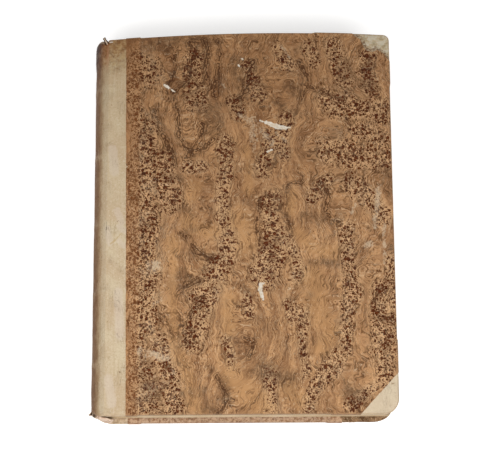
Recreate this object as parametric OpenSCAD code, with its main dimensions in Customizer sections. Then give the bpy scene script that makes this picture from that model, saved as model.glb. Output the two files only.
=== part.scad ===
// Old folio in a half-vellum binding, closed and lying on its back cover.
// Two boards are laced to a block of leaves sewn on cords. Vellum covers the spine, the strip beside
// it and the corners, and marbled paper covers the rest of each board.
// +X runs from the spine to the fore-edge, +Y from tail to head, +Z up out of the front cover.

/* [Boards] */
// Height of a board from tail to head
board_h = 318.5; // [220:0.5:400]
// Width of a board from the joint to the fore-edge
board_w = 232.6; // [170:0.1:300]
// Thickness of a board
board_t = 3.5; // [2.5:0.1:6]
// How far the front cover bows up across its width
cover_bow = 2.4; // [0:0.1:4]
// How far the head edge drops from its crown to the joint
head_drop = 5; // [0:0.5:8]
// Share of the width at which the head edge is highest
head_crown = 0.62; // [0.5:0.01:0.8]

/* [Leaves] */
// Thickness of the sewn leaves with their flyleaves
leaves_t = 40; // [20:0.5:60]
// How far the boards stand past the leaves at the tail and fore-edge
square = 4; // [2:0.5:8]
// How far the boards stand past the leaves at the head, beside the joint
head_square = 3; // [2:0.5:6]
// Depth of the hollow down the fore-edge
fore_hollow = 6; // [2:0.5:9]
// Thickness of a flyleaf
flyleaf_t = 0.15; // [0.1:0.05:0.3]

/* [Spine] */
// How far the rounded spine stands out from the joints
spine_bulge = 12.3; // [8:0.1:18]
// Thickness of the lining glued to the sewn spine
lining_t = 0.5; // [0.3:0.1:1]
// Number of sewing cords
cord_count = 5; // [3:1:6]
// Thickness of a sewing cord
cord_d = 2.6; // [2:0.1:3.4]
// Distance from the ends of the leaves to the outermost cords
cord_inset = 38; // [25:1:60]
// Thickness of the sewn head and tail bands
band_d = 2.6; // [1.8:0.1:3]

/* [Covering] */
// Thickness of the vellum
vellum_t = 0.5; // [0.3:0.05:0.8]
// Thickness of the marbled paper
paper_t = 0.25; // [0.15:0.05:0.4]
// Thickness of the paper pasted down inside a cover
pastedown_t = 0.2; // [0.15:0.05:0.3]
// Width of the vellum that shows beside the joint
strip_w = 15.7; // [10:0.1:30]
// How far the vellum runs on under the marbled paper
lap = 10; // [6:0.5:16]
// Width of the covering that is turned over the edges of a board
turn_in = 15; // [10:0.5:20]
// Width of the turned covering that shows round a pastedown
paste_margin = 4.5; // [3:0.5:7]
// Length of the vellum turned in at each end of the spine
spine_turn_in = 16; // [10:0.5:22]

/* [Corners] */
// Length of a vellum tail corner along the tail edge
tail_corner_x = 29.5; // [20:0.5:45]
// Length of a vellum tail corner along the fore-edge
tail_corner_y = 32; // [20:0.5:45]
// Length of a vellum head corner along the head edge
head_corner_x = 29; // [20:0.5:45]
// Length of a vellum head corner along the fore-edge
head_corner_y = 21; // [16:0.5:45]
// How far a vellum corner runs on under the marbled paper
corner_lap = 18; // [8:0.5:24]
// Wear radius of the front cover's tail corner
front_tail_r = 12; // [3:0.5:20]
// Wear radius of the front cover's head corner
front_head_r = 4.5; // [3:0.5:20]
// Wear radius of the back cover's tail corner
back_tail_r = 16; // [3:0.5:20]
// Wear radius of the back cover's head corner
back_head_r = 8; // [3:0.5:20]

/* [Cord ends] */
// Length of the cord's end that lies in the outer face of a board
slip_run = 17; // [12:0.5:24]
// Width of a cord's end where it is frayed out and hammered flat
slip_w = 5; // [4:0.5:8]
// Depth of the slot that takes a cord's end
slip_t = 1.4; // [0.8:0.1:1.6]
// Diameter of the fan of threads pasted inside the board
fan_d = 12; // [8:0.5:16]
// Thickness of that fan
fan_t = 0.5; // [0.3:0.1:0.7]

/* [Clearances] */
// Gap across each joint, between a cover and the spine
joint_gap = 0.5; // [0.3:0.1:0.8]
// Gap between a pastedown and the flyleaf that faces it
leaf_gap = 0.25; // [0.2:0.05:0.5]

/* [Hidden] */
front = 0;
back = 1;
sides = ["front", "back"];
tail_r = [front_tail_r, back_tail_r];
head_r = [front_head_r, back_head_r];
bow = [cover_bow, 0];

skin = vellum_t + paper_t;
inside_t = skin + pastedown_t;
cover_inner_z = skin + board_t + inside_t;
block_z0 = cover_inner_z + leaf_gap;
block_z1 = block_z0 + leaves_t;
front_board_z = block_z1 + leaf_gap + inside_t;
back_board_z = skin + board_t;
back_joint_z = paper_t;
front_joint_z = front_board_z + board_t + vellum_t;

spine_half = (front_joint_z - back_joint_z) / 2;
spine_mid_z = (front_joint_z + back_joint_z) / 2;
spine_r = (spine_half * spine_half + spine_bulge * spine_bulge) / (2 * spine_bulge);
block_spine_r = spine_r - vellum_t - lining_t;
joint_x = -(board_w + skin - spine_bulge) / 2;

crown_x = head_crown * board_w;
spine_tail_y = -board_h / 2 - vellum_t;
spine_head_y = board_h / 2 - head_drop + vellum_t;
block_tail_y = -board_h / 2 + square;
block_head_y = board_h / 2 - head_drop - head_square;
block_h = block_head_y - block_tail_y;
block_w = board_w - square;
cord_pitch = (block_h - 2 * cord_inset) / (cord_count - 1);

edge_steps = 24;
arc_steps = 8;
past = 40;
over = 1;
least_r = 1;
reach = 2 * (board_h + board_w);
$fn = 180;

cord_numbers = [for (i = [1:cord_count]) i];

// Height of the bow at a distance from the joint
function bow_at(x, height) = height * (1 - pow(2 * x / board_w - 1, 2));

// Drop of the head edge at a distance from the joint
function drop_at(x) = head_drop * pow(x / crown_x - 1, 2);

function cord_y(i) = block_tail_y + cord_inset + (i - 1) * cord_pitch;

function arc_points(cx, cy, r, from, to) =
    [for (i = [0:arc_steps]) let (a = from + (to - from) * i / arc_steps) [cx + r * cos(a), cy + r * sin(a)]];

// Outline of a cover grown by g at the head, tail and fore-edge. Its joint edge stays at x0.
function cover_outline(side, g, x0) = let (
    x1 = board_w + g,
    y1 = board_h / 2 + g,
    rt = max(tail_r[side] + g, least_r),
    rh = max(head_r[side] + g, least_r)
) concat(
    [[x0, -y1]],
    arc_points(x1 - rt, -y1 + rt, rt, -90, 0),
    [for (p = arc_points(x1 - rh, y1 - rh, rh, 0, 90)) [p[0], p[1] - drop_at(p[0])]],
    [for (i = [1:edge_steps])
        let (x = (x1 - rh) + (x0 - x1 + rh) * i / edge_steps) [x, y1 - drop_at(x)]]
);

module cover_plan(side, g = 0) polygon(cover_outline(side, g, joint_gap / 2));

// The same plan, run on past the joint edge to cut with
module cutting_plan(side, g = 0) polygon(cover_outline(side, g, -over));

// A plan between two heights above the board's inner face, following the bow of the cover
module layer(side, z0, z1) {
    steps = bow[side] > 0 ? edge_steps : 1;
    xs = [for (i = [0:steps]) -past + (board_w + 2 * past) * i / steps];
    section = concat(
        [for (x = xs) [x, z0 + bow_at(x, bow[side])]],
        [for (i = [steps:-1:0]) [xs[i], z1 + bow_at(xs[i], bow[side])]]
    );
    intersection() {
        translate([0, 0, -past]) linear_extrude(2 * past) children();
        rotate([90, 0, 0]) linear_extrude(reach, center = true) polygon(section);
    }
}

// What a covering goes round: the board, and the middle of its inside, which stays open
module board_and_opening(side) {
    layer(side, 0, board_t) cutting_plan(side);
    layer(side, -skin - over, board_t / 2) cutting_plan(side, -turn_in);
}

// Covering of thickness t round the head, tail and fore-edge of a board
module wrap(side, t) {
    difference() {
        layer(side, -t, board_t + t) cover_plan(side, t);
        board_and_opening(side);
    }
}

// Plan of everything beyond a line across a corner, which cuts off leg_x along the tail or head and leg_y along
// the fore-edge and lies further in by "grow"
module corner_zone(is_head, leg_x, leg_y, grow = 0) {
    edge_y = board_h / 2 - (is_head ? drop_at(board_w) : 0);
    shift = grow / sin(atan2(leg_y, leg_x));
    ax = leg_x + shift;
    ay = ax * leg_y / leg_x;
    mirror([0, is_head ? 1 : 0])
        polygon([
            [board_w - 2 * ax, -edge_y - ay],
            [board_w + 2 * ax, -edge_y - ay],
            [board_w + 2 * ax, -edge_y + 3 * ay]
        ]);
}

module strip_zone(width) translate([-past, -board_h]) square([past + width, 2 * board_h]);

// Where the marbled paper lies over vellum
module lap_zone(grow = 0) {
    strip_zone(strip_w + lap + grow);
    corner_zone(false, tail_corner_x, tail_corner_y, corner_lap + grow);
    corner_zone(true, head_corner_x, head_corner_y, corner_lap + grow);
}

// Where vellum is left uncovered by the paper
module bare_zone() {
    strip_zone(strip_w);
    corner_zone(false, tail_corner_x, tail_corner_y);
    corner_zone(true, head_corner_x, head_corner_y);
}

module prism() translate([0, 0, -past]) linear_extrude(2 * past) children();

// Puts what is modelled on a board's inner face in its place in the book
module place_cover(side) {
    translate([joint_x, 0, side == front ? front_board_z : back_board_z])
        mirror([0, 0, side == front ? 0 : 1]) children();
}

// A cord's end: flat in the outer face from the joint, through the board, and fanned out on the inside.
// "extra" makes it run past the faces and the joint edge, to cut its seat.
module slip_shape(side, i, extra = 0) {
    layer(side, board_t - slip_t, board_t + extra)
        translate([joint_gap / 2 - extra, cord_y(i) - slip_w / 2]) square([slip_run + extra, slip_w]);
    layer(side, fan_t / 2, board_t - slip_t / 2)
        translate([slip_run - slip_w / 2, cord_y(i)]) circle(d = cord_d);
    layer(side, -extra, fan_t)
        translate([slip_run - slip_w / 2, cord_y(i)]) circle(d = fan_d);
}

module board_shape(side) {
    difference() {
        layer(side, 0, board_t) cover_plan(side);
        for (i = cord_numbers) slip_shape(side, i, over);
    }
}

module vellum_strip_shape(side) {
    intersection() {
        wrap(side, vellum_t);
        prism() strip_zone(strip_w + lap);
    }
}

module vellum_corner_shape(side, is_head) {
    leg_x = is_head ? head_corner_x : tail_corner_x;
    leg_y = is_head ? head_corner_y : tail_corner_y;
    intersection() {
        wrap(side, vellum_t);
        prism() corner_zone(is_head, leg_x, leg_y, corner_lap);
    }
}

module paper_shape(side) {
    difference() {
        union() {
            layer(side, -paper_t, board_t + paper_t) cover_plan(side, paper_t);
            layer(side, -skin, board_t + skin)
                intersection() {
                    cover_plan(side, skin);
                    lap_zone(paper_t);
                }
        }
        board_and_opening(side);
        intersection() {
            layer(side, -vellum_t, board_t + vellum_t) cover_plan(side, vellum_t);
            prism() lap_zone();
        }
        prism() bare_zone();
    }
}

module pastedown_shape(side) {
    difference() {
        union() {
            layer(side, -pastedown_t, 0) cover_plan(side, -paste_margin);
            layer(side, -inside_t, 0)
                difference() {
                    cover_plan(side, -paste_margin);
                    cover_plan(side, -turn_in - pastedown_t);
                }
        }
        layer(side, -skin, over)
            difference() {
                cutting_plan(side, skin);
                cutting_plan(side, -turn_in);
            }
    }
}

// Leaves sewn into a rounded spine that swells into a shoulder behind each board
module block_shape() {
    hollow_r = (leaves_t * leaves_t / 4 + fore_hollow * fore_hollow) / (2 * fore_hollow);
    difference() {
        union() {
            block_layer(-joint_gap, block_z0 + flyleaf_t, block_z1 - flyleaf_t);
            spine_sector(0, block_spine_r, block_tail_y, block_head_y);
        }
        translate([block_w - fore_hollow + hollow_r, 0, (block_z0 + block_z1) / 2])
            rotate([90, 0, 0]) cylinder(r = hollow_r, h = reach, center = true);
        for (i = cord_numbers)
            translate([0, cord_y(i), 0]) spine_groove();
    }
}

// Leaves from x0 to the fore-edge between two heights at the joint. The upper face follows the bow of the
// front cover, and so does the lower face of what lies on top.
module block_layer(x0, z0, z1, top_only = false) {
    xs = [for (i = [0:edge_steps]) -past + (board_w + 2 * past) * i / edge_steps];
    upper = [for (i = [edge_steps:-1:0]) [xs[i], z1 + bow_at(xs[i], cover_bow)]];
    lower = top_only ? [for (x = xs) [x, z0 + bow_at(x, cover_bow)]] : [[xs[0], z0], [xs[edge_steps], z0]];
    intersection() {
        translate([x0, block_tail_y, 0]) cube([block_w - x0, block_h, 2 * block_z1]);
        rotate([90, 0, 0]) linear_extrude(reach, center = true) polygon(concat(lower, upper));
    }
}

// Part of a ring round the spine's axis that lies behind the joints
module spine_sector(r0, r1, y0, y1) {
    intersection() {
        translate([spine_r - spine_bulge, y0, spine_mid_z])
            rotate([-90, 0, 0])
                difference() {
                    cylinder(r = r1, h = y1 - y0);
                    if (r0 > 0) translate([0, 0, -over]) cylinder(r = r0, h = y1 - y0 + 2 * over);
                }
        translate([-past - joint_gap / 2, y0 - over, 0])
            cube([past, y1 - y0 + 2 * over, 3 * spine_half]);
    }
}

module spine_groove() spine_sector(block_spine_r - cord_d, block_spine_r + over, -cord_d / 2, cord_d / 2);

// A round cord laid along the curve of the spine, with its outer side at radius r
module spine_cord(r, d, y) {
    intersection() {
        translate([spine_r - spine_bulge, y, spine_mid_z])
            rotate([-90, 0, 0]) rotate_extrude() translate([r - d / 2, 0]) circle(d = d, $fn = 48);
        translate([-past - joint_gap / 2, y - d, 0]) cube([past, 2 * d, 3 * spine_half]);
    }
}

module board(side) color("peru") place_cover(side) board_shape(side);

module marbled_paper(side) color("saddlebrown") place_cover(side) paper_shape(side);

module vellum_strip(side) color("wheat") place_cover(side) vellum_strip_shape(side);

module vellum_corner(side, is_head) color("wheat") place_cover(side) vellum_corner_shape(side, is_head);

module pastedown(side) color("ivory") place_cover(side) pastedown_shape(side);

module cord_slip(side, i) color("tan") place_cover(side) slip_shape(side, i);

module text_block() color("antiquewhite") translate([joint_x, 0, 0]) block_shape();

module front_flyleaf() color("ivory")
    translate([joint_x, 0, 0]) block_layer(0, block_z1 - flyleaf_t, block_z1, top_only = true);

module back_flyleaf() color("ivory")
    translate([joint_x, block_tail_y, block_z0]) cube([block_w, block_h, flyleaf_t]);

module spine_lining() color("burlywood")
    translate([joint_x, 0, 0])
        spine_sector(block_spine_r, block_spine_r + lining_t,
            spine_tail_y + spine_turn_in, spine_head_y - spine_turn_in);

module spine_vellum() color("tan") translate([joint_x, 0, 0]) {
    spine_sector(spine_r - vellum_t, spine_r, spine_tail_y, spine_head_y);
    spine_sector(block_spine_r, spine_r - vellum_t / 2, spine_tail_y, spine_tail_y + spine_turn_in);
    spine_sector(block_spine_r, spine_r - vellum_t / 2, spine_head_y - spine_turn_in, spine_head_y);
}

module headband() color("linen") translate([joint_x, 0, 0]) spine_cord(block_spine_r, band_d, block_head_y + band_d / 2);

module tailband() color("linen") translate([joint_x, 0, 0]) spine_cord(block_spine_r, band_d, block_tail_y - band_d / 2);

module sewing_cord(i) color("tan") translate([joint_x, 0, 0]) spine_cord(block_spine_r, cord_d, cord_y(i));

for (side = [front, back]) {
    board(side);
    marbled_paper(side);
    vellum_strip(side);
    vellum_corner(side, true);
    vellum_corner(side, false);
    pastedown(side);
    for (i = cord_numbers)
        cord_slip(side, i);
}
text_block();
front_flyleaf();
back_flyleaf();
spine_lining();
spine_vellum();
headband();
tailband();
for (i = cord_numbers)
    sewing_cord(i);
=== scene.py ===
"""Old folio in a half-vellum binding, dressed piece by piece over its CAD model.

Shapes are worked out in millimetres on a cover's own plan:
x from the joint to the fore-edge, y from tail to head, z out from the board's inner face.
"""

import math

import bpy
import numpy as np
from mathutils import Matrix, Vector


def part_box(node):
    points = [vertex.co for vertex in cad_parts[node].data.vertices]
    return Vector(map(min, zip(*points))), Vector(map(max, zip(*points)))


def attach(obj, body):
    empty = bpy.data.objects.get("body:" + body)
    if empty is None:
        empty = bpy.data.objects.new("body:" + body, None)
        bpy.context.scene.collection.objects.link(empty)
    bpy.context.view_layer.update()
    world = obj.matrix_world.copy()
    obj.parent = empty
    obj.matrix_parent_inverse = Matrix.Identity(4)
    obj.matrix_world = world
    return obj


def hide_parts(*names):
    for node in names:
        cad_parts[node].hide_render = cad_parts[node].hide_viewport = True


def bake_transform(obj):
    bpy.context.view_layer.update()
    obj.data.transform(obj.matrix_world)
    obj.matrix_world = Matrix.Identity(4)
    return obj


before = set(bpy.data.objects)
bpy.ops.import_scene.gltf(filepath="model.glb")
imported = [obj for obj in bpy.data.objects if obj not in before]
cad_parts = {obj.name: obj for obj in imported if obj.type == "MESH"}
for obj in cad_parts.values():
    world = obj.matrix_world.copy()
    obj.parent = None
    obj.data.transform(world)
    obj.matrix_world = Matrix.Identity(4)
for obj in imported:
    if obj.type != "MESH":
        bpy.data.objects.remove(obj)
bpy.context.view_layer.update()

MM = 0.001
FRONT = 0
BACK = 1
OUTWARD = (1, -1)

# Sizes of the book, as in its CAD source
BOARD_H = 318.5
BOARD_W = 232.6
BOARD_T = 3.5
COVER_BOW = (2.4, 0.0)
HEAD_DROP = 5.0
CROWN_X = 0.62 * BOARD_W
TAIL_R = (12.0, 16.0)
HEAD_R = (4.5, 8.0)
VELLUM_T = 0.5
PAPER_T = 0.25
FLYLEAF_T = 0.15
TURN_IN = 15.0
PASTE_MARGIN = 4.5
STRIP_W = 15.7
LAP = 10.0
CORNER_LAP = 18.0
CORNER_LEGS = {"tail": (29.5, 32.0), "head": (29.0, 21.0)}
BOARD_Z = (46.65, 4.25)
LEAVES_Z = (5.45, 45.45)
LEAVES_Y = (-155.25, 151.25)
LEAVES_W = 228.6
FORE_HOLLOW = 6.0
JOINT_X = -110.525
MID_Z = 25.45
SPINE_R = 31.9646
SPINE_X = SPINE_R - 12.3
BLOCK_SPINE_R = SPINE_R - 1.0
HINGE_Z = (50.65, 0.25)
JOINT_ANGLE = math.asin((HINGE_Z[FRONT] - MID_Z) / SPINE_R)
CORDS_Y = (-117.25, -59.625, -2.0, 55.625, 113.25)
BAND_D = 2.6
THREAD_PAIR = 5.4

# How far apart the two covers' sheets lie in the patterns, so that no two look alike
SHEETS_APART = 400.0
SPINE_HALVES_APART = 50.0


def srgb(red, green, blue):
    """A colour given as on a screen, from 0 to 255, for the shaders."""
    return tuple(
        c / 12.92 if c <= 0.04045 else ((c + 0.055) / 1.055) ** 2.4
        for c in (red / 255, green / 255, blue / 255)
    )


def ease(low, high, value):
    """Smooth rise from 0 at low to 1 at high."""
    t = np.clip((np.asarray(value, float) - low) / (high - low), 0, 1)
    return t * t * (3 - 2 * t)


def ease_down(low, high, value):
    return 1 - ease(low, high, value)


def ripple(x, y, period, seed):
    """Smooth random waves between -1 and 1, about a period apart."""
    table = np.random.default_rng(seed).uniform(-1, 1, (97, 97))
    gx = np.asarray(x, float) / period + 40
    gy = np.asarray(y, float) / period + 40
    ix = np.floor(gx).astype(int)
    iy = np.floor(gy).astype(int)
    fx = gx - ix
    fy = gy - iy
    fx = fx * fx * (3 - 2 * fx)
    fy = fy * fy * (3 - 2 * fy)
    near = table[ix % 97, iy % 97] * (1 - fx) + table[(ix + 1) % 97, iy % 97] * fx
    far = table[ix % 97, (iy + 1) % 97] * (1 - fx) + table[(ix + 1) % 97, (iy + 1) % 97] * fx
    return near * (1 - fy) + far * fy


# Sheets

ON_LINE = 0.04


class Sheet:
    """Points in mm, faces, and what is known of each point: its place on the flat sheet and its stains."""

    def __init__(self, points, faces, marks):
        self.points = np.asarray(points, float)
        self.faces = [tuple(f) for f in faces]
        self.marks = {k: np.asarray(v, float) for k, v in marks.items()}

    def cut(self, side):
        """Keeps what lies where side is positive, and cuts cleanly along the line."""
        side = np.where(np.abs(side) < ON_LINE, 0.0, side)
        names = list(self.marks)
        table = np.column_stack([self.points] + [self.marks[n] for n in names])
        rows = list(table)
        kept_faces = []
        crossing = {}

        def cross(a, b):
            key = (min(a, b), max(a, b))
            if key not in crossing:
                low, high = key
                share = side[low] / (side[low] - side[high])
                crossing[key] = len(rows)
                rows.append(table[low] + (table[high] - table[low]) * share)
            return crossing[key]

        for face in self.faces:
            values = side[list(face)]
            if values.max() <= 0:
                continue
            if values.min() >= 0:
                kept_faces.append(face)
                continue
            ring = []
            for a, b in zip(face, face[1:] + face[:1]):
                if side[a] >= 0:
                    ring.append(a)
                if side[a] * side[b] < 0:
                    ring.append(cross(a, b))
            if len(ring) > 2:
                kept_faces.append(tuple(ring))
        table = np.array(rows)
        used = sorted({v for f in kept_faces for v in f})
        place = {v: i for i, v in enumerate(used)}
        table = table[used]
        marks = {}
        column = 3
        for n in names:
            width = 1 if self.marks[n].ndim == 1 else self.marks[n].shape[1]
            values = table[:, column:column + width]
            marks[n] = values[:, 0] if width == 1 else values
            column += width
        return Sheet(table[:, :3], [tuple(place[v] for v in f) for f in kept_faces], marks)

    def normals(self):
        """The direction out of the sheet at each point."""
        total = np.zeros_like(self.points)
        for face in self.faces:
            corners = self.points[list(face)]
            total[list(face)] += np.cross(corners[2] - corners[0], corners[-1] - corners[1])
        return total / np.maximum(np.linalg.norm(total, axis=1), 1e-12)[:, None]

    def thicken(self, thickness):
        """Closes the sheet to a solid of that thickness, behind the side that shows."""
        behind = self.points - self.normals() * np.reshape(thickness, (-1, 1))
        n = len(self.points)
        edges = {(a, b) for f in self.faces for a, b in zip(f, f[1:] + f[:1])}
        rim = sorted((a, b) for a, b in edges if (b, a) not in edges)
        faces = list(self.faces)
        faces += [tuple(v + n for v in reversed(f)) for f in self.faces]
        faces += [(b, a, a + n, b + n) for a, b in rim]
        marks = {k: np.concatenate([v, v]) for k, v in self.marks.items()}
        return Sheet(np.vstack([self.points, behind]), faces, marks)


def put_in_scene(name, data):
    made = bpy.data.objects.new(name, data)
    bpy.context.scene.collection.objects.link(made)
    return made


def make_piece(name, sheet, material, sharp=38):
    """A Blender object from a closed sheet, with its marks kept as attributes."""
    mesh = bpy.data.meshes.new(name)
    mesh.from_pydata((sheet.points * MM).tolist(), [], sheet.faces)
    for key, values in sheet.marks.items():
        if values.ndim == 1:
            layer = mesh.attributes.new(key, "FLOAT", "POINT")
            layer.data.foreach_set("value", values.astype(np.float32))
        else:
            layer = mesh.attributes.new(key, "FLOAT_VECTOR", "POINT")
            layer.data.foreach_set("vector", values.astype(np.float32).ravel())
    mesh.polygons.foreach_set("use_smooth", [True] * len(mesh.polygons))
    mesh.set_sharp_from_angle(angle=math.radians(sharp))
    mesh.materials.append(material)
    mesh.update()
    return put_in_scene(name, mesh)


def set_on(piece, body, slot, *nodes):
    """Says which body a piece rides on and which CAD nodes it stands for; the slot is not used."""
    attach(piece, body)
    if nodes:
        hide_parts(*nodes)


def grid_faces(columns, rows):
    """Faces of a grid of points numbered row by row."""
    corners = [r * columns + c for r in range(rows - 1) for c in range(columns - 1)]
    return [(a, a + 1, a + columns + 1, a + columns) for a in corners]


def turned_over(faces):
    return [tuple(reversed(f)) for f in faces]


def place_cover(points, side, faces):
    """Moves points from a cover's own plan to the book, and turns the back cover over."""
    moved = np.array(points, float)
    moved[:, 0] += JOINT_X
    if side == FRONT:
        moved[:, 2] += BOARD_Z[FRONT]
        return moved, faces
    moved[:, 2] = BOARD_Z[BACK] - moved[:, 2]
    return moved, turned_over(faces)


# The plan of a cover


def bow_at(x, side):
    """How far a cover bows outward."""
    return COVER_BOW[side] * (1 - (2 * np.asarray(x, float) / BOARD_W - 1) ** 2)


def drop_at(x):
    """How far the head edge falls away from its highest point."""
    return HEAD_DROP * (np.asarray(x, float) / CROWN_X - 1) ** 2


def lift_at(x, y, side):
    """The covering never lies quite flat on its board."""
    waves = ripple(x, y, 38, 11 + side) + 0.6 * ripple(x, y, 17, 12 + side)
    return 0.07 * (1.6 + waves)


# Where a cover's columns of points are, closest at the vellum's edge and at the end of its lap
NEAR_JOINT = np.concatenate([np.arange(0, 12, 2.0), np.arange(12, 15, 1.0), np.arange(15, 18.2, 0.4)])
OVER_LAP = np.concatenate([np.arange(18.8, 24.5, 1.4), np.arange(24.6, 27.2, 0.4)])
FAR_X = 150
STATIONS = np.concatenate([NEAR_JOINT, OVER_LAP, np.arange(28.5, FAR_X, 2.1)])
ARC_STEPS = 9
FAR_STEPS = 34
FORE_STEPS = 168


def cover_edge(side, grow):
    """Tail edge with its corner, fore-edge, and head edge with its corner, grown by "grow"."""
    x1 = BOARD_W + grow
    y1 = BOARD_H / 2 + grow
    rt = max(TAIL_R[side] + grow, 1.0)
    rh = max(HEAD_R[side] + grow, 1.0)
    turn = np.linspace(0, math.pi / 2, ARC_STEPS + 1)[1:]
    far_t = np.linspace(FAR_X, x1 - rt, FAR_STEPS)
    far_h = np.linspace(FAR_X, x1 - rh, FAR_STEPS)
    tail_x = np.concatenate([STATIONS, far_t, x1 - rt + rt * np.sin(turn)])
    tail_y = np.concatenate([np.full(len(STATIONS) + FAR_STEPS, -y1), -y1 + rt - rt * np.cos(turn)])
    head_x = np.concatenate([STATIONS, far_h, x1 - rh + rh * np.sin(turn)])
    head_y = np.concatenate([np.full(len(STATIONS) + FAR_STEPS, y1), y1 - rh + rh * np.cos(turn)])
    head_y = head_y - drop_at(head_x)
    tail = np.column_stack([tail_x, tail_y])
    head = np.column_stack([head_x, head_y])
    share = np.linspace(0, 1, FORE_STEPS + 1)[:, None]
    fore = tail[-1] + (head[-1] - tail[-1]) * share
    return tail, fore, head


def whole_edge(side, grow):
    tail, fore, head = cover_edge(side, grow)
    return np.vstack([tail, fore[1:-1], head[::-1]])


def legs_distance(x, y, end, grow=0.0):
    """Distance beyond the line across a corner; positive in the corner."""
    leg_x, leg_y = CORNER_LEGS[end]
    corner_y = BOARD_H / 2 - (drop_at(BOARD_W) if end == "head" else 0)
    across = np.asarray(y) if end == "head" else -np.asarray(y)
    length = math.hypot(leg_x, leg_y)
    return ((x - BOARD_W) * leg_y + (across - corner_y) * leg_x) / length + leg_x * leg_y / length + grow


def over_vellum(x, y):
    """1 where the marbled paper lies on vellum, falling off over a millimetre at the vellum's edge."""
    strip = ease(STRIP_W + LAP + 0.9, STRIP_W + LAP, x)
    tail = ease(-0.9, 0.1, legs_distance(x, y, "tail", CORNER_LAP))
    head = ease(-0.9, 0.1, legs_distance(x, y, "head", CORNER_LAP))
    return np.maximum(strip, np.maximum(tail, head))


# How far round the board's edge each part of a wrapped sheet is, from the outer face to the inner one
TURNED = {"top": 0.0, "over": 0.0, "edge": 0.5, "under": 0.75, "inside": 1.0}


def wrapped_cover(side, thickness_at, round_r, inner_run):
    """The sheet that lies on a board's outer face and is turned over its edges.

    thickness_at(x, y) is how far the side that shows stands off the board."""
    start = -2.4
    tail, _, head = cover_edge(side, start)
    share = np.linspace(0, 1, FORE_STEPS + 1)[:, None, None]
    top = (tail[None] * (1 - share) + head[None] * share).reshape(-1, 2)
    columns = len(tail)
    x, y = top[:, 0], top[:, 1]
    off = thickness_at(x, y)
    z = BOARD_T + off + bow_at(x, side) + lift_at(x, y, side)
    points = [np.column_stack([x, y, z])]
    flat = [top]
    edge = [np.zeros(len(x))]
    turned = [np.zeros(len(x))]
    faces = grid_faces(columns, FORE_STEPS + 1)

    first = whole_edge(side, start)
    outward = whole_edge(side, start + 1.2) - first
    outward /= np.linalg.norm(outward, axis=1)[:, None]
    base = whole_edge(side, 0.0)
    off = thickness_at(base[:, 0], base[:, 1])
    count = len(first)
    lower = columns * FORE_STEPS
    ring = (
        list(range(columns))
        + [columns * r + columns - 1 for r in range(1, FORE_STEPS)]
        + [lower + c for c in reversed(range(columns))]
    )
    # The way round the board's edge: each line's distance out, angle or share, and the part that it is in
    turn = np.linspace(0, math.pi / 2, 5)
    profile = [(-1.3, "top"), (-0.7, "top")]
    profile += [(a, "over") for a in turn]
    profile += [(0.33, "edge"), (0.67, "edge")]
    profile += [(a, "under") for a in turn]
    profile += [(g, "inside") for g in (-1.5, -2.6, -4.2, -6.5, -9.5, -12.5, -inner_run)]
    run = np.zeros(count)
    top_z = BOARD_T + off
    before = first
    before_z = top_z
    total = len(x)
    for value, kind in profile:
        if kind in ("top", "inside"):
            grow = np.full(count, value)
            height = top_z if kind == "top" else -off
        elif kind == "over":
            grow = off - round_r + round_r * math.sin(value)
            height = top_z - round_r + round_r * math.cos(value)
        elif kind == "edge":
            grow = off
            height = (top_z - round_r) * (1 - value) + (round_r - off) * value
        else:
            grow = off - round_r + round_r * math.cos(value)
            height = round_r - off - round_r * math.sin(value)
        usual = float(np.median(grow))
        line = whole_edge(side, usual) + outward * (grow - usual)[:, None]
        run = run + np.hypot(np.linalg.norm(line - before, axis=1), height - before_z)
        before = line
        before_z = height
        lx, ly = line[:, 0], line[:, 1]
        wave = lift_at(lx, ly, side) * (1 if kind == "top" else 0.0)
        points.append(np.column_stack([lx, ly, height + bow_at(lx, side) + wave]))
        flat.append(first + outward * run[:, None])
        from_ridge = abs(value) if kind in ("top", "inside") else 0.0
        edge.append(np.full(count, 0.75 if kind == "edge" else math.exp(-from_ridge / 0.9)))
        turned.append(np.full(count, TURNED[kind]))
        current = list(range(total, total + count))
        faces += [(ring[i + 1], ring[i], current[i], current[i + 1]) for i in range(count - 1)]
        ring = current
        total += count
    flat = np.vstack(flat)
    place = np.column_stack([flat, np.full(len(flat), SHEETS_APART * side)])
    marks = {"sheet": place, "edge": np.concatenate(edge), "turned": np.concatenate(turned)}
    return Sheet(np.vstack(points), faces, marks)


# Where the marbling is speckled, shaded, smooth or rubbed: x and y of both ends of a streak, half width
SPECKLED = [
    (22, 137, 24, -155, 7), (32, 131, 34, 121, 11), (29, 76, 34, -92, 12), (43, 50, 53, 14, 10),
    (44, -104, 55, -152, 10), (31, -128, 36, -156, 10), (72, 136, 74, 99, 8), (102, 102, 109, 90, 6),
    (94, 64, 97, -14, 6), (97, -18, 97, -37, 10), (90, -39, 78, -68, 10), (80, -68, 70, -104, 8),
    (131, 19, 136, -12, 7), (138, -17, 125, -52, 10), (148, -27, 154, -48, 6), (194, -7, 197, -68, 7),
    (193, -68, 189, -109, 6), (183, -115, 162, -153, 6), (157, -76, 160, -129, 4),
    (220, -60, 223, -131, 9), (232, -34, 232, -109, 5), (212, -137, 195, -155, 5),
    (130, -128, 131, -160, 6), (183, 99, 229, 90, 11), (180, 56, 228, 49, 11), (186, 149, 197, 118, 8),
    (214, 144, 216, 111, 7), (164, 149, 169, 134, 6), (142, 148, 150, 134, 6), (167, 17, 178, 33, 6),
    (133, 66, 126, 40, 7), (146, 87, 144, 57, 6), (148, -68, 151, -83, 5), (111, -68, 116, -80, 4),
    (66, 41, 76, 44, 5), (96, -100, 101, -118, 4), (117, 130, 122, 104, 6), (198, 32, 225, 2, 8),
    (207, 75, 228, 66, 8),
]
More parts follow.
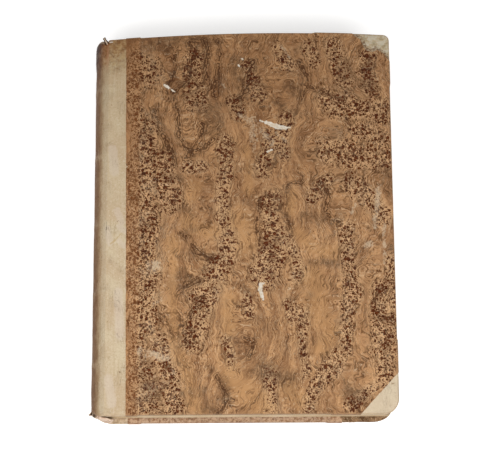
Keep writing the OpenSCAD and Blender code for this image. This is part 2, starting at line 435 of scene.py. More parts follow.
SHADED = [
    (84, 92, 87, 77, 9), (135, 100, 141, 97, 4), (50, 35, 61, 33, 3), (95, -132, 97, -147, 6),
    (80, -156, 87, -158, 6), (33, -127, 41, -149, 8), (226, 42, 232, 36, 4), (217, 137, 215, 113, 5),
    (195, 135, 197, 121, 6), (163, 0, 175, -1, 5), (161, -37, 187, -39, 3), (194, -142, 200, -149, 6),
    (122, -125, 147, -129, 7), (68, -31, 87, -36, 4), (60, -48, 74, -53, 4), (17, 151, 86, 153, 6),
    (148, 114, 156, 106, 6), (64, 7, 72, 4, 4), (110, -62, 113, -65, 4), (106, 136, 109, 101, 4),
]
SMOOTH = [
    (72, 27, 69, 19, 6), (68, -6, 84, -12, 8), (108, 0, 113, -23, 10), (156, -15, 182, -30, 6),
    (164, -48, 171, -84, 9), (53, -18, 57, -92, 4), (56, -104, 73, -158, 6), (101, -126, 125, -156, 9),
    (145, -136, 155, -149, 7), (149, 18, 150, 3, 5), (112, 57, 116, 23, 4), (179, -93, 173, -110, 6),
    (96, -68, 101, -92, 6),
]
RUBBED = [
    (121.7, 80.6, 118.3, 66, 4), (126.5, 74.5, 134.6, 64.2, 4), (117.6, 84.9, 123.4, 85.7, 2),
    (138, 72, 146, 66, 2), (121.5, 66, 119.8, 57, 2), (35, -39, 42, -38, 5), (87, -58, 89, -61, 2),
    (210, -24, 215, -20, 3), (185, -12, 186, -17, 2), (28, -109, 49, -114, 4), (54, -122, 55, -126, 2),
    (142, 149, 150, 137, 2), (95, 115, 97, 109, 2), (221, 27, 217, -7, 3), (202, 11, 199, 5, 2),
    (40, -69, 44, -67, 2), (109, 87, 118, 81, 3), (225, -6, 224, -37, 2),
]
# How far a dark vein reaches on either side of its path
VEIN_HALF = 3.2
# Paths of the dark veins, from end to end
VEINS = [
    [(67, 149), (72, 136), (69, 120), (59, 108), (51, 100)],
    [(56, 140), (57, 127), (50, 113)],
    [(54, 103), (60, 88), (58, 68), (64, 56), (77, 58), (86, 67)],
    [(76, 82), (75, 65), (64, 49)],
    [(90, 153), (93, 127), (88, 104)],
    [(157, 135), (164, 116), (158, 99)],
    [(122, 135), (114, 114), (103, 102)],
    [(157, 30), (144, 26), (147, 3), (150, -15)],
    [(172, 32), (181, 23), (178, 6), (187, -2)],
    [(74, -53), (57, -64), (63, -92), (68, -105)],
    [(76, -68), (67, -85), (73, -102)],
    [(50, -82), (65, -129), (67, -150)],
    [(88, -127), (98, -147), (87, -161)],
    [(223, -58), (213, -71), (219, -84), (230, -83)],
    [(126, 15), (123, -7), (126, -25)],
    [(60, -16), (72, -31), (87, -36)],
    [(111, -100), (119, -105), (115, -113)],
    [(195, 102), (175, 107), (162, 113)],
    [(78, 153), (80, 143), (82, 133), (84, 119), (88, 106)],
    [(37, 91), (41, 80), (45, 71), (51, 56), (53, 44)],
]
# Burls that the grain of the marbling bends round: x, y, half width, and how far it bends
BURLS = [
    (115, 118, 13, 16), (152, 110, 12, -15), (62, 84, 13, 18), (116, -107, 12, -15), (178, 14, 13, 18),
    (86, 84, 14, -14), (150, 5, 16, -16), (66, 126, 13, -15), (74, -30, 14, 14), (226, -72, 12, 14),
    (64, -88, 13, -14), (200, -40, 15, 12), (130, -80, 15, -12), (180, -80, 20, 14), (110, -10, 16, 12),
    (92, -145, 13, 14), (205, 130, 14, 14), (205, 70, 15, -13), (30, -140, 14, 14), (160, 60, 15, 13),
]


def segment_distance(x, y, x0, y0, x1, y1):
    dx, dy = x1 - x0, y1 - y0
    t = np.clip(((x - x0) * dx + (y - y0) * dy) / max(dx * dx + dy * dy, 1e-9), 0, 1)
    return np.hypot(x - x0 - t * dx, y - y0 - t * dy)


def curved(path):
    """More points along a path, so that it bends smoothly through its corners."""
    corners = np.array([path[0]] + list(path) + [path[-1]], float)
    made = []
    for i in range(1, len(corners) - 2):
        before, here, there, after = corners[i - 1:i + 3]
        for t in np.linspace(0, 1, 7)[:-1]:
            bend = (2 * before - 5 * here + 4 * there - after) * t
            bend = bend + (3 * here - 3 * there + after - before) * t * t
            made.append(here + 0.5 * t * (there - before + bend))
    return made + [corners[-1]]


def streaks(x, y, rows):
    """1 in the middle of each streak, falling to 0 a little outside its half width."""
    best = np.zeros(len(x))
    for x0, y0, x1, y1, half in rows:
        away = segment_distance(x, y, x0, y0, x1, y1)
        best = np.maximum(best, ease_down(half * 0.3, half * 1.6, away))
    return best


def marbling(sheet, side):
    """Adds what the paper's finish needs: how its grain flows, and where it is speckled, dark or rubbed."""
    x = sheet.marks["sheet"][:, 0]
    y = sheet.marks["sheet"][:, 1]
    if side == BACK:
        x, y = 250 - x, -y
    sway_x = x + 3.5 * ripple(x, y, 21, 31)
    sway_y = y + 3.5 * ripple(x, y, 21, 32)
    speckled = streaks(sway_x, sway_y, SPECKLED)
    shaded = streaks(sway_x, sway_y, SHADED)
    smooth = streaks(sway_x, sway_y, SMOOTH)
    rubbed = streaks(x, y, RUBBED)
    vein = np.zeros(len(x))
    for path in VEINS:
        bends = curved(path)
        for (x0, y0), (x1, y1) in zip(bends, bends[1:]):
            away = segment_distance(sway_x, sway_y, x0, y0, x1, y1)
            vein = np.maximum(vein, np.exp(-((away / VEIN_HALF) ** 2)))
    grain = x + 13 * ripple(x, y * 0.55, 52, 33) + 5 * ripple(x, y * 0.7, 24, 34)
    for bx, by, half, bend in BURLS:
        grain = grain + bend * np.exp(-(((x - bx) / half) ** 2 + ((y - by) / (half * 1.5)) ** 2))
    sheet.marks["grain"] = np.column_stack([grain, y, np.full(len(x), SHEETS_APART * side)])
    sheet.marks["field"] = np.column_stack([speckled, shaded, smooth])
    sheet.marks["vein"] = vein
    sheet.marks["rubbed"] = rubbed
    return sheet


def stains(sheet, side):
    """Adds where vellum is handled and dusty: towards the head, and along its edges."""
    x = sheet.marks["sheet"][:, 0]
    y = sheet.marks["sheet"][:, 1]
    to_head = ease(110, 152, y + 5 * ripple(x, y, 13, 41)) * (0.9 - 0.5 * ease(120, 190, x))
    sheet.marks["dusty"] = np.clip(to_head + 0.16 * ease(-146, -158, y), 0, 1)
    sheet.marks["tear"] = ease(7, 0.5, np.abs(torn_distance(x, y))) * (side == FRONT)
    sheet.marks["wiped"] = streaks(x, y, WIPED)
    past_head = y - BOARD_H / 2 + drop_at(np.clip(x, 0, BOARD_W))
    past_end = np.maximum(ease(-160.4, -162.0, y), ease(0.6, 2.2, past_head))
    sheet.marks["turned"] = np.maximum(past_end, sheet.marks["turned"])
    return sheet


# Nodes and finishes


class Wire:
    """A socket that sums can be written with."""

    def __init__(self, nodes, socket):
        self.nodes = nodes
        self.socket = socket

    def _sum(self, operation, first, second):
        kind = "ShaderNodeMath" if self.socket.type in ("VALUE", "INT") else "ShaderNodeVectorMath"
        return self.nodes.node(kind, {"operation": operation}, {0: first, 1: second})

    def __add__(self, other):
        return self._sum("ADD", self, other)

    def __radd__(self, other):
        return self._sum("ADD", other, self)

    def __sub__(self, other):
        return self._sum("SUBTRACT", self, other)

    def __rsub__(self, other):
        return self._sum("SUBTRACT", other, self)

    def __mul__(self, other):
        return self._sum("MULTIPLY", self, other)

    def __rmul__(self, other):
        return self._sum("MULTIPLY", other, self)

    def __truediv__(self, other):
        return self._sum("DIVIDE", self, other)

    def over(self, low, high):
        """0 below low, 1 above high, smooth between."""
        return self.nodes.node(
            "ShaderNodeMapRange",
            {"interpolation_type": "SMOOTHSTEP"},
            {"Value": self, "From Min": low, "From Max": high},
        )

    def most(self, other):
        return self._sum("MAXIMUM", self, other)

    def least(self, other):
        return self._sum("MINIMUM", self, other)

    def size(self):
        return self._sum("ABSOLUTE", self, 0)

    def sine(self):
        return self._sum("SINE", self, 0)

    def root(self):
        return self._sum("SQRT", self, 0)


class Nodes:
    """A tree of nodes, and the one way that a node is added to it."""

    def __init__(self, tree):
        self.tree = tree

    def plug(self, socket, value):
        if isinstance(value, Wire):
            self.tree.links.new(value.socket, socket)
        elif socket.type == "RGBA":
            socket.default_value = tuple(value) + (1.0,)
        elif socket.type == "VECTOR" and isinstance(value, (int, float)):
            socket.default_value = (value, value, value)
        else:
            socket.default_value = value

    def node(self, kind, settings=None, inputs=None, output=0):
        """Adds a node and gives the wire of one output, or of each where several are named."""
        made = self.tree.nodes.new(kind)
        for key, value in (settings or {}).items():
            setattr(made, key, value)
        for key, value in (inputs or {}).items():
            self.plug(made.inputs[key], value)
        if isinstance(output, tuple):
            return [Wire(self, made.outputs[name]) for name in output]
        return Wire(self, made.outputs[output])

    def seen(self):
        """1 for a ray from the camera, straight or off a glossy surface."""
        camera_ray, glossy_ray = self.node("ShaderNodeLightPath", output=("Is Camera Ray", "Is Glossy Ray"))
        return camera_ray.most(glossy_ray)


class Finish(Nodes):
    """One material, whose colour is laid on layer by layer.

    A colour is three numbers from 0 to 255, or a wire."""

    def __init__(self, name, specular):
        self.material = bpy.data.materials.new(name)
        self.material.use_nodes = True
        super().__init__(self.material.node_tree)
        self.shader = self.tree.nodes["Principled BSDF"]
        self.set("Specular IOR Level", specular)

    def set(self, name, value):
        self.plug(self.shader.inputs[name], value)

    def mark(self, name, output="Fac"):
        return self.node("ShaderNodeAttribute", {"attribute_name": name}, output=output)

    def place(self):
        """Where a point is on the book, in millimetres."""
        return self.node("ShaderNodeTexCoord", output="Object") * (1 / MM)

    def noise(self, place, scale, detail=2.0, roughness=0.5, output=0):
        inputs = {"Vector": place, "Scale": scale, "Detail": detail, "Roughness": roughness}
        return self.node("ShaderNodeTexNoise", None, inputs, output)

    def stretched(self, x, y, z, detail=2.0, roughness=0.5):
        """Noise over a place whose axes are scaled each by its own amount."""
        return self.noise(self.join(x, y, z), 1.0, detail, roughness)

    def waver(self, place, scale, detail=2.0, roughness=0.5):
        """Noise about zero."""
        return self.noise(place, scale, detail, roughness) - 0.5

    def parts(self, vector):
        return self.node("ShaderNodeSeparateXYZ", None, {0: vector}, (0, 1, 2))

    def join(self, x, y, z):
        return self.node("ShaderNodeCombineXYZ", None, {0: x, 1: y, 2: z})

    def mix(self, first, second, share, blend="MIX"):
        first, second = (c if isinstance(c, Wire) else srgb(*c) for c in (first, second))
        settings = {"data_type": "RGBA", "blend_type": blend}
        return self.node("ShaderNodeMix", settings, {0: share, 6: first, 7: second}, 2)

    def start(self, first, second, share):
        self.colour = self.mix(first, second, share)

    def lay(self, colour, share):
        """Lays a colour over what is there, by share."""
        self.colour = self.mix(self.colour, colour, share)

    def shade(self, colour, share):
        """Darkens what is there through a colour, by share."""
        self.colour = self.mix(self.colour, colour, share, "MULTIPLY")

    def dots(self, place, scale, reach):
        """Dots scattered a cell apart, of mixed sizes up to reach of a cell."""
        inputs = {"Vector": place, "Scale": scale}
        distance, lot = self.node("ShaderNodeTexVoronoi", None, inputs, ("Distance", "Color"))
        return (distance - reach * (0.45 + self.parts(lot)[0] * 0.95)).over(0.05, -0.05)

    def relief(self, height, depth):
        """Bump, with its depth in metres."""
        return self.node("ShaderNodeBump", None, {"Height": height, "Distance": depth, "Strength": 1.0})

    def done(self, roughness, normal=None):
        self.set("Base Color", self.colour)
        self.set("Roughness", roughness)
        if normal is not None:
            self.set("Normal", normal)
        return self.material


def streak_mask(x, y, x0, y0, x1, y1, half, wobble):
    """A crisp scrape between two points, with a ragged edge."""
    dx, dy = x1 - x0, y1 - y0
    length = dx * dx + dy * dy
    along = ((x - x0) * dx + (y - y0) * dy) / length
    along = along.most(0.0).least(1.0)
    off_x = x - x0 - along * dx
    off_y = y - y0 - along * dy
    distance = (off_x * off_x + off_y * off_y).root()
    return (distance + wobble).over(half + 0.25, half - 0.25)


# Scrapes on the front paper, down to the bare sheet: x and y of both ends, half width
SCRAPES = [
    (125.0, 82.7, 129.9, 81.4, 0.6), (129.9, 81.2, 134.8, 79.5, 1.5), (134.8, 79.1, 140.5, 77.1, 2.0),
    (140.5, 77.1, 145.5, 76.5, 1.6), (145.5, 76.8, 149.4, 76.7, 0.6), (131.0, 56.0, 132.5, 56.5, 0.9),
    (132.5, 56.5, 134.3, 57.5, 0.7), (124.2, -54.9, 123.9, -60.4, 1.4), (124.0, -60.0, 125.6, -65.2, 1.5),
    (125.6, -65.2, 126.4, -67.4, 0.7), (124.8, -55.4, 127.2, -54.2, 0.5), (46.2, 114.0, 50.0, 111.6, 1.0),
    (50.0, 111.6, 55.0, 108.2, 0.5), (110.5, 136.8, 110.8, 135.9, 0.9), (107.6, 131.1, 108.0, 130.2, 0.8),
]


def marbled_paper_finish(name, with_scrapes):
    """Smooth grain, dark veins and clusters of spots over it, then dust, rubbing and wear, with painted
    shade towards the head and on the edge faces.
    """
    f = Finish(name, 0.10)
    sheet = f.mark("sheet", "Vector")
    grain = f.mark("grain", "Vector")
    speckled, shaded, smooth = f.parts(f.mark("field", "Vector"))
    x, y, side = f.parts(sheet)
    across, along, _ = f.parts(grain)

    curl = f.noise(sheet, 0.055, output=1) - 0.5
    across = across + f.parts(curl)[0] * 22.0 + f.waver(sheet, 0.20) * 5.0
    fibre = f.stretched(across * 0.62, along * 0.05, side, 4.0, 0.68)
    thread = f.stretched(across * 0.95, along * 0.16, side, 3.0, 0.65)
    stroke = f.stretched(across * 0.80, along * 0.30, side + 5.0, 2.0, 0.6)
    tone = f.stretched(across * 0.13, along * 0.022, side, 2.0, 0.55)
    contour = f.stretched(across * 0.26, along * 0.018, side + 7.0, 1.5, 0.5)
    first = (contour - 0.5).size().over(0.022, 0.005)
    second = (contour - 0.59).size().over(0.020, 0.004)
    third = (contour - 0.42).size().over(0.018, 0.004)
    line = first.most(second).most(third) * f.noise(sheet, 0.085).over(0.40, 0.58)

    mottle = f.noise(sheet, 0.30, 4.0, 0.65)
    busy = f.noise(sheet, 0.05).over(0.36, 0.60) * 0.6 + 0.4 - smooth * 0.45
    rings = (across * 2.3 + tone * 16.0 + f.waver(sheet, 0.35) * 4.0).sine()
    ring_break = f.stretched(across * 0.3, along * 0.07, side + 11.0).over(0.44, 0.62)
    f.start((156, 113, 77), (204, 156, 110), tone.over(0.28, 0.70))
    f.lay((224, 182, 136), speckled * 0.78)
    f.lay((106, 70, 41), fibre.over(0.47, 0.74) * (0.85 - smooth * 0.55))
    f.lay((208, 172, 132), fibre.over(0.46, 0.24) * 0.50)
    f.lay((98, 62, 35), thread.over(0.52, 0.72) * 0.6 * busy)
    f.lay((104, 70, 43), mottle.over(0.52, 0.72) * 0.45)
    f.lay((92, 58, 34), rings.over(0.10, 0.95) * ring_break * 0.60 * busy)
    f.lay((212, 178, 140), rings.over(-0.2, -0.95) * ring_break * 0.32 * busy)
    f.lay((190, 144, 96), smooth * 0.50)
    f.lay((84, 49, 25), stroke.over(0.56, 0.66) * 0.92 * busy)
    f.lay((224, 194, 158), stroke.over(0.43, 0.31) * 0.65 * busy)

    cloud = f.noise(sheet, 0.045, 3.0, 0.55)
    shade = (shaded * (mottle.over(0.30, 0.62) * 0.85 + 0.15) + (cloud.over(0.54, 0.74) * 0.45)).least(1.0)
    f.lay((92, 67, 47), shade * (0.28 + fibre * 0.70))

    vein = f.mark("vein") * 0.95 + f.waver(sheet, 0.16) * 1.1 + (fibre - 0.5) * 0.8
    bundle = (vein * 15.0 + stroke * 3.0).sine().over(-0.4, 0.5)
    f.lay((74, 44, 24), vein.over(0.22, 0.60) * (bundle * 0.80 + 0.08) * (1.0 - smooth * 0.6))
    f.lay((78, 50, 29), line * 0.70)

    patch = f.waver(sheet, 0.10, 4.0, 0.62)
    density = speckled * 0.84 + 0.17 + patch * 1.5 - smooth * 0.45 + (tone - 0.5) * 0.5
    border = (speckled + patch * 1.2 - 0.42).size().over(0.12, 0.02) * fibre.over(0.40, 0.56)
    f.lay((76, 46, 25), border * 0.60)
    shaky = f.noise(sheet, 0.55, 2.0, 0.6, output=1) - 0.5
    shaken = sheet + curl * 5.0 + shaky * 2.0
    fill = density.over(0.02, 0.95)
    small_dots = f.dots(shaken, 0.62, fill * 0.42)
    large_dots = f.dots(shaken + 31.0, 0.33, fill * 0.45 - 0.07)
    fine_dots = f.dots(sheet + 57.0, 1.0, fill * 0.40 - 0.02)
    dark = small_dots.most(large_dots).most(fine_dots * 0.7)
    dark_tint = f.mix((58, 17, 0), (93, 42, 12), f.noise(sheet, 0.35).over(0.35, 0.65))
    lapped = x.over(28.0, 24.0)
    f.lay(dark_tint, dark * (0.97 - lapped * 0.10))

    grain_dust = f.noise(sheet, 0.85, 2.0, 0.7)
    greyed = 0.20 + x.over(62.0, 34.0) * 0.45 - lapped * 0.35
    grey = f.noise(sheet, 0.06, 3.0, 0.6).over(0.48, 0.68) * greyed
    f.lay((184, 160, 130), grey * grain_dust.over(0.42, 0.62))
    rubbed = f.mark("rubbed")
    flaked = f.waver(sheet, 0.75, 4.0, 0.8) * 2.2 + f.waver(sheet, 0.16, 2.0, 0.6) * 1.8
    f.lay((216, 192, 162), (rubbed * 0.75 + flaked).over(0.50, 0.95) * rubbed.over(0.0, 0.6) * 0.66)
    f.lay((150, 92, 46), lapped * 0.26)
    flecks = f.noise(sheet, 0.9, 2.0, 0.6).over(0.66, 0.72)
    f.lay((228, 206, 174), flecks * 0.7)
    # Darker towards the head and less so at the fore-edge: partly the paper's own toning, partly painted
    # shade where the light falls off.
    f.shade((218, 212, 206), y.over(-60.0, 150.0) * (0.85 - x.over(130.0, 220.0) * 0.40))

    edge = f.mark("edge")
    worn = (edge + f.waver(sheet, 0.5, 3.0, 0.7) * 1.2).over(0.62, 1.05)
    f.lay((150, 124, 96), worn * 0.55)
    turned_in = f.mark("turned")
    soil = f.noise(sheet, 0.40, 4.0, 0.75)
    dust = f.mix((122, 92, 70), (198, 172, 148), soil.over(0.40, 0.58))
    f.lay(dust, turned_in.over(0.2, 0.9) * (0.50 + grain_dust * 0.4))
    # Darker on the board's edge faces: partly dirt, partly painted shade.
    on_edge = (0.5 - (turned_in - 0.5).size()).over(0.2, 0.45)
    f.shade((176, 154, 134), on_edge * 0.8)
    height = fibre * 0.25 - dark * 0.10 + f.noise(sheet, 2.4, 2.0, 0.6) * 0.35
    if with_scrapes:
        ragged = f.waver(sheet, 1.1, 2.0, 0.6) * 1.7 + f.waver(sheet, 0.33, 1.0) * 2.2
        scraped = None
        for row in SCRAPES:
            one = streak_mask(x, y, *row, ragged)
            scraped = one if scraped is None else scraped.most(one)
        bare = f.mix((214, 199, 176), (233, 224, 210), soil.over(0.42, 0.58))
        f.lay(bare, scraped * 0.90)
        height = height - scraped
    return f.done(0.56 + worn * 0.15 + dark * 0.04, f.relief(height, 0.00016))


# Marks on the front of the vellum: x and y of both ends, half width, colour
VELLUM_MARKS = [
    ((3.5, -20.3, 7.0, -17.4, 0.7), (190, 160, 112)), ((7.6, -16.5, 11.8, -12.0, 0.4), (190, 162, 118)),
    ((-0.1, -2.0, -0.1, -8.0, 0.2), (134, 118, 94)), ((-0.1, -6.4, -0.1, -8.0, 0.5), (104, 92, 70)),
    ((11.8, -124.8, 12.1, -125.6, 0.5), (118, 82, 44)), ((0.7, 152.5, 2.6, 152.9, 0.6), (228, 221, 208)),
]
# Where the vellum is paler, as if wiped: x and y of both ends, half width
WIPED = [
    (0.3, -7.1, 2.9, -19.7, 3), (10, -5.6, 14.1, -9.9, 2.5), (10.2, -18.2, 14.3, -22.4, 2.5),
    (4, 60, 6, 40, 4), (10, -60, 12, -96, 4), (3, -130, 6, -150, 4), (8, 8, 12, -2, 3),
]


def vellum_finish():
    """Cream skin with pores and streaks, soiled at the head, toned round the spine and worn at its edges;
    painted shade round the spine and towards the head, a painted highlight on the head joint and the back
    tail cap, and a painted shadow on the front tail cap.
    """
    f = Finish("vellum", 0.16)
    sheet = f.mark("sheet", "Vector")
    x, y, side = f.parts(sheet)
    cloud = f.noise(sheet, 0.035, 3.0, 0.55)
    fine = f.noise(sheet, 0.5, 4.0, 0.65)
    specks = f.noise(sheet, 1.05, 3.0, 0.7)
    f.start((202, 178, 146), (214, 196, 165), cloud.over(0.35, 0.65))
    f.lay((182, 155, 118), fine.over(0.50, 0.72) * 0.50)
    f.lay((228, 215, 194), fine.over(0.46, 0.30) * 0.50)
    f.lay((168, 140, 104), specks.over(0.54, 0.70) * 0.50)
    f.lay((236, 224, 206), specks.over(0.44, 0.28) * 0.50)
    streaky = f.stretched(x * 0.5, y * 0.03, side, 3.0, 0.6)
    f.lay((192, 167, 132), streaky.over(0.52, 0.72) * 0.5)
    f.lay((222, 207, 182), streaky.over(0.44, 0.28) * 0.35)
    wiped = (f.mark("wiped") + f.waver(sheet, 0.35, 3.0, 0.6) * 0.9).over(0.25, 0.85)
    f.lay((220, 204, 188), wiped * 0.42)
    pores = f.noise(sheet, 1.6, 2.0, 0.6).over(0.64, 0.70)
    f.lay((148, 116, 78), pores * 0.55)
    slanting = f.join(x * 0.8 + y * 0.1, y * 0.14, side)
    crease = f.waver(slanting, 1.0).size().over(0.014, 0.003)
    crease = crease * f.noise(sheet, 0.06).over(0.48, 0.60)
    f.lay((166, 136, 98), crease * 0.55)
    dusty = f.mark("dusty") + f.waver(sheet, 0.11, 4.0, 0.65) * 0.7
    by_joint = x.over(60.0, 26.0)
    blotch = f.noise(sheet, 0.28, 4.0, 0.7)
    f.shade((214, 202, 176), dusty.over(0.10, 0.95) * (0.06 + blotch * 1.15))
    f.shade((218, 186, 156), (dusty + (blotch - 0.5) * 2.0).over(0.45, 1.15) * by_joint * 0.75)
    f.shade((222, 178, 148), dusty.over(0.20, 0.90) * x.over(2.0, -3.0) * 0.55)
    patches = f.noise(sheet, 0.19, 4.0, 0.70)
    far_corner = x.over(180.0, 205.0)
    soiled = dusty.over(0.30, 0.90) * by_joint
    f.lay((202, 176, 132), soiled * x.over(-1.0, 4.0) * patches.over(0.50, 0.62) * 0.72)
    f.lay((108, 74, 48), soiled * patches.over(0.48, 0.36) * 0.62)
    # Painted highlight: a pinkish line along the joint's ridge at the head.
    f.lay((206, 156, 122), soiled * (x + 1.4 + (fine - 0.5) * 3.0).size().over(1.5, 0.3) * 0.48)
    f.shade((172, 132, 100), soiled * x.over(-7.0, -17.0) * 0.90)
    at_head = (y + (blotch - 0.5) * 14.0).over(138.0, 152.0) * by_joint
    f.shade((220, 202, 184), at_head * 0.75)
    at_head_corner = far_corner * y.over(60.0, 120.0)
    f.lay((222, 214, 196), at_head_corner * patches.over(0.48, 0.58) * 0.80)
    f.lay((142, 126, 90), at_head_corner * patches.over(0.47, 0.38) * 0.65)
    f.lay((232, 219, 196), far_corner * y.over(-90.0, -120.0) * 0.36)
    tear = f.mark("tear")
    leftover = (tear + f.waver(sheet, 0.45, 4.0, 0.75) * 1.9).over(0.62, 0.80) * tear.over(0.0, 0.3)
    f.lay(f.mix((92, 58, 34), (160, 122, 84), fine.over(0.42, 0.56)), leftover * 0.85)
    f.lay((204, 200, 178), at_head_corner * fine.over(0.44, 0.58) * 0.45)
    # Painted shade: darker towards the head, where the light falls off.
    f.shade((226, 222, 216), y.over(-40.0, 150.0) * 0.8)
    spots = f.noise(sheet, 0.16, 3.0, 0.6).over(0.68, 0.71)
    f.lay((140, 102, 62), spots * 0.55)
    ragged = f.waver(sheet, 0.9, 2.0, 0.6) * 1.1
    in_front = side.over(30.0, 20.0) * x.over(60.0, 40.0)
    for row, tint in VELLUM_MARKS:
        f.lay(tint, streak_mask(x, y, *row, ragged) * in_front * 0.60)

    # Darker towards the spine's silhouette: partly the spine's real toning, partly painted shade.
    grime_and_shade_noise = f.stretched(x * 0.30, y * 0.06, side, 5.0, 0.68)
    toned_and_shaded = x + (grime_and_shade_noise - 0.5) * 10.0
    f.shade((208, 186, 157), toned_and_shaded.over(-4.0, -9.0) * 0.66)
    f.shade((172, 146, 120), toned_and_shaded.over(-5.5, -13.5) * 0.90)
    f.shade((216, 186, 136), toned_and_shaded.over(-11.0, -19.0) * 0.72)
    scuffs = f.stretched(x * 0.5, y * 0.12, side, 5.0, 0.7) + f.mark("handled") * 0.16
    f.lay((198, 174, 142), x.over(-3.0, -9.0) * scuffs.over(0.50, 0.74) * 0.5)
    cracks = (f.stretched(x * 0.35, y * 0.09, side + 3.0, 3.0, 0.6) - 0.5).size().over(0.010, 0.002)
    f.shade((150, 122, 96), cracks * x.over(-2.0, -6.0) * 0.7)
    edge = f.mark("edge")
    worn = (edge + f.waver(sheet, 0.4, 3.0, 0.7)).over(0.55, 1.1)
    f.lay((158, 128, 96), worn * 0.55)
    turned = f.mark("turned")
    soil = f.noise(sheet, 0.30, 4.0, 0.7)
    dust = f.mix((150, 122, 94), (204, 182, 156), soil.over(0.40, 0.60))
    f.lay(dust, turned * 0.75)
    at_back = side.over(20.0, 30.0)
    cap = turned * x.over(3.0, -0.5) * y.over(-100.0, -140.0)
    # Painted highlight on the back half's turned-in cap at the tail.
    f.lay((232, 214, 200), cap * at_back * (blotch.over(0.32, 0.46) * 0.6 + 0.35))
    # Painted shadow on the front half's cap at the tail, under the front cover's edge.
    f.lay((70, 45, 30), cap * (1.0 - at_back) * 0.85)
    rolled = at_back * x.over(0.0, -3.0) * y.over(-152.5, -155.0)
    f.lay(f.mix((150, 112, 84), (230, 208, 190), soil.over(0.38, 0.52)), rolled * 0.75)
    height = fine * 0.5 + streaky * 0.8 - pores * 0.3 - crease * 0.8 + specks * 0.35
    return f.done(0.50 + fine * 0.2, f.relief(height, 0.00014))


def torn_vellum_finish():
    f = Finish("torn_vellum", 0.1)
    sheet = f.mark("sheet", "Vector")
    brown = f.mark("edge") + f.waver(sheet, 0.9, 3.0, 0.7) * 0.9
    f.start((216, 202, 182), (142, 104, 72), brown.over(0.0, 0.35))
    f.lay((48, 28, 18), brown.over(0.25, 0.60))
    return f.done(0.8)


def endpaper_finish():
    f = Finish("laid_endpaper", 0.2)
    sheet = f.mark("sheet", "Vector")
    x, y, _ = f.parts(sheet)
    cloud = f.noise(sheet, 0.03, 4.0, 0.6)
    f.start((208, 193, 163), (217, 204, 176), cloud.over(0.30, 0.70))
    mottle = f.noise(sheet, 0.45, 4.0, 0.65)
    f.lay((194, 176, 142), mottle.over(0.50, 0.75) * 0.40)
    foxing = f.noise(sheet, 0.085, 3.0, 0.6).over(0.66, 0.76)
    f.lay((182, 146, 102), foxing * 0.45)
    specks = f.noise(sheet, 0.6, 2.0, 0.6).over(0.71, 0.75)
    f.lay((160, 126, 86), specks * 0.5)
    lines = (y * 5.2 + f.noise(sheet, 0.2, 1.0) * 3.0).sine()
    chains = (x * 0.25).sine().over(0.985, 1.0)
    f.lay((190, 172, 138), lines.over(0.2, 1.0) * 0.14 + chains * 0.2)
    browned = f.mark("edge") + f.waver(sheet, 0.09, 3.0, 0.6) * 0.5
    f.lay((170, 142, 104), browned.over(0.25, 1.0) * 0.6)
    height = lines * 0.35 + f.noise(sheet, 1.6, 3.0, 0.6) + chains * 0.5
    return f.done(0.82, f.relief(height, 0.00006))


def leaves_finish():
    f = Finish("leaf_edges", 0.15)
    place = f.place()
    x, y, z = f.parts(place)
    wave = (f.stretched(x * 0.02, y * 0.02, z * 0.1, 2.0) - 0.5) * 0.8
    leaf = f.stretched(x * 0.03, y * 0.03, (z + wave) * 6.5, 2.0, 0.7)
    section = f.stretched(x * 0.01, y * 0.01, (z + wave) * 0.9, 2.0, 0.6)
    cloud = f.noise(place, 0.03, 3.0, 0.6)
    f.start((206, 180, 144), (230, 210, 180), cloud.over(0.3, 0.7))
    f.lay((112, 88, 62), leaf.over(0.50, 0.68) * 0.75)
    f.lay((232, 220, 196), leaf.over(0.44, 0.30) * 0.4)
    f.lay((150, 124, 90), section.over(0.50, 0.68) * 0.45)
    head_dust = y.over(150.0, 151.5)
    f.lay((128, 108, 84), head_dust * 0.45)
    dirt = f.stretched(x * 0.06, y * 0.06, z * 0.2, 4.0, 0.6).over(0.52, 0.72)
    f.lay((140, 112, 80), dirt * 0.4)
    return f.done(0.86, f.relief(leaf * 0.7 + section * 0.5, 0.00018))


def board_finish():
    f = Finish("rope_fibre_board", 0.1)
    place = f.place()
    x, y, z = f.parts(place)
    layer = f.stretched(x * 0.12, y * 0.12, z * 3.2, 4.0, 0.7)
    fluff = f.noise(place, 1.4, 4.0, 0.7)
    f.start((118, 88, 60), (160, 130, 96), layer.over(0.35, 0.65))
    f.lay((66, 44, 28), fluff.over(0.52, 0.72) * 0.6)
    f.lay((186, 164, 132), fluff.over(0.36, 0.26) * 0.4)
    return f.done(0.92, f.relief(layer * 0.6 + fluff * 0.6, 0.0004))


def frayed_finish():
    f = Finish("frayed_board", 0.1)
    place = f.place()
    x, y, z = f.parts(place)
    layer = f.stretched(x * 0.14, y * 0.14, z * 3.0, 4.0, 0.7)
    fluff = f.noise(place, 0.9, 4.0, 0.72)
    f.start((96, 70, 48), (150, 120, 90), layer.over(0.38, 0.62))
    f.lay((52, 34, 21), fluff.over(0.50, 0.66) * 0.75)
    f.lay((214, 192, 162), fluff.over(0.44, 0.34) * 0.80)
    return f.done(0.94, f.relief(layer * 0.7 + fluff * 0.8, 0.0003))


def cord_finish():
    """Twisted strands, with painted shade in the grooves between them, which show as slanting lines."""
    f = Finish("hemp_cord", 0.15)
    place = f.place()
    x, y, z = f.parts(place)
    strand = ((x * 0.7 + z * 0.7 + y * 0.9) * 4.0).sine()
    fuzz = f.noise(place, 1.7, 4.0, 0.7)
    # The grooves between the strands are painted with shade.
    hollow = (112, 86, 56)
    f.start((176, 150, 110), hollow, (strand * 0.5 + 0.5).over(0.2, 0.9) * 0.7)
    f.lay(hollow, fuzz.over(0.52, 0.7) * 0.5)
    return f.done(0.88, f.relief(strand * 0.5 + fuzz * 0.6, 0.0003))


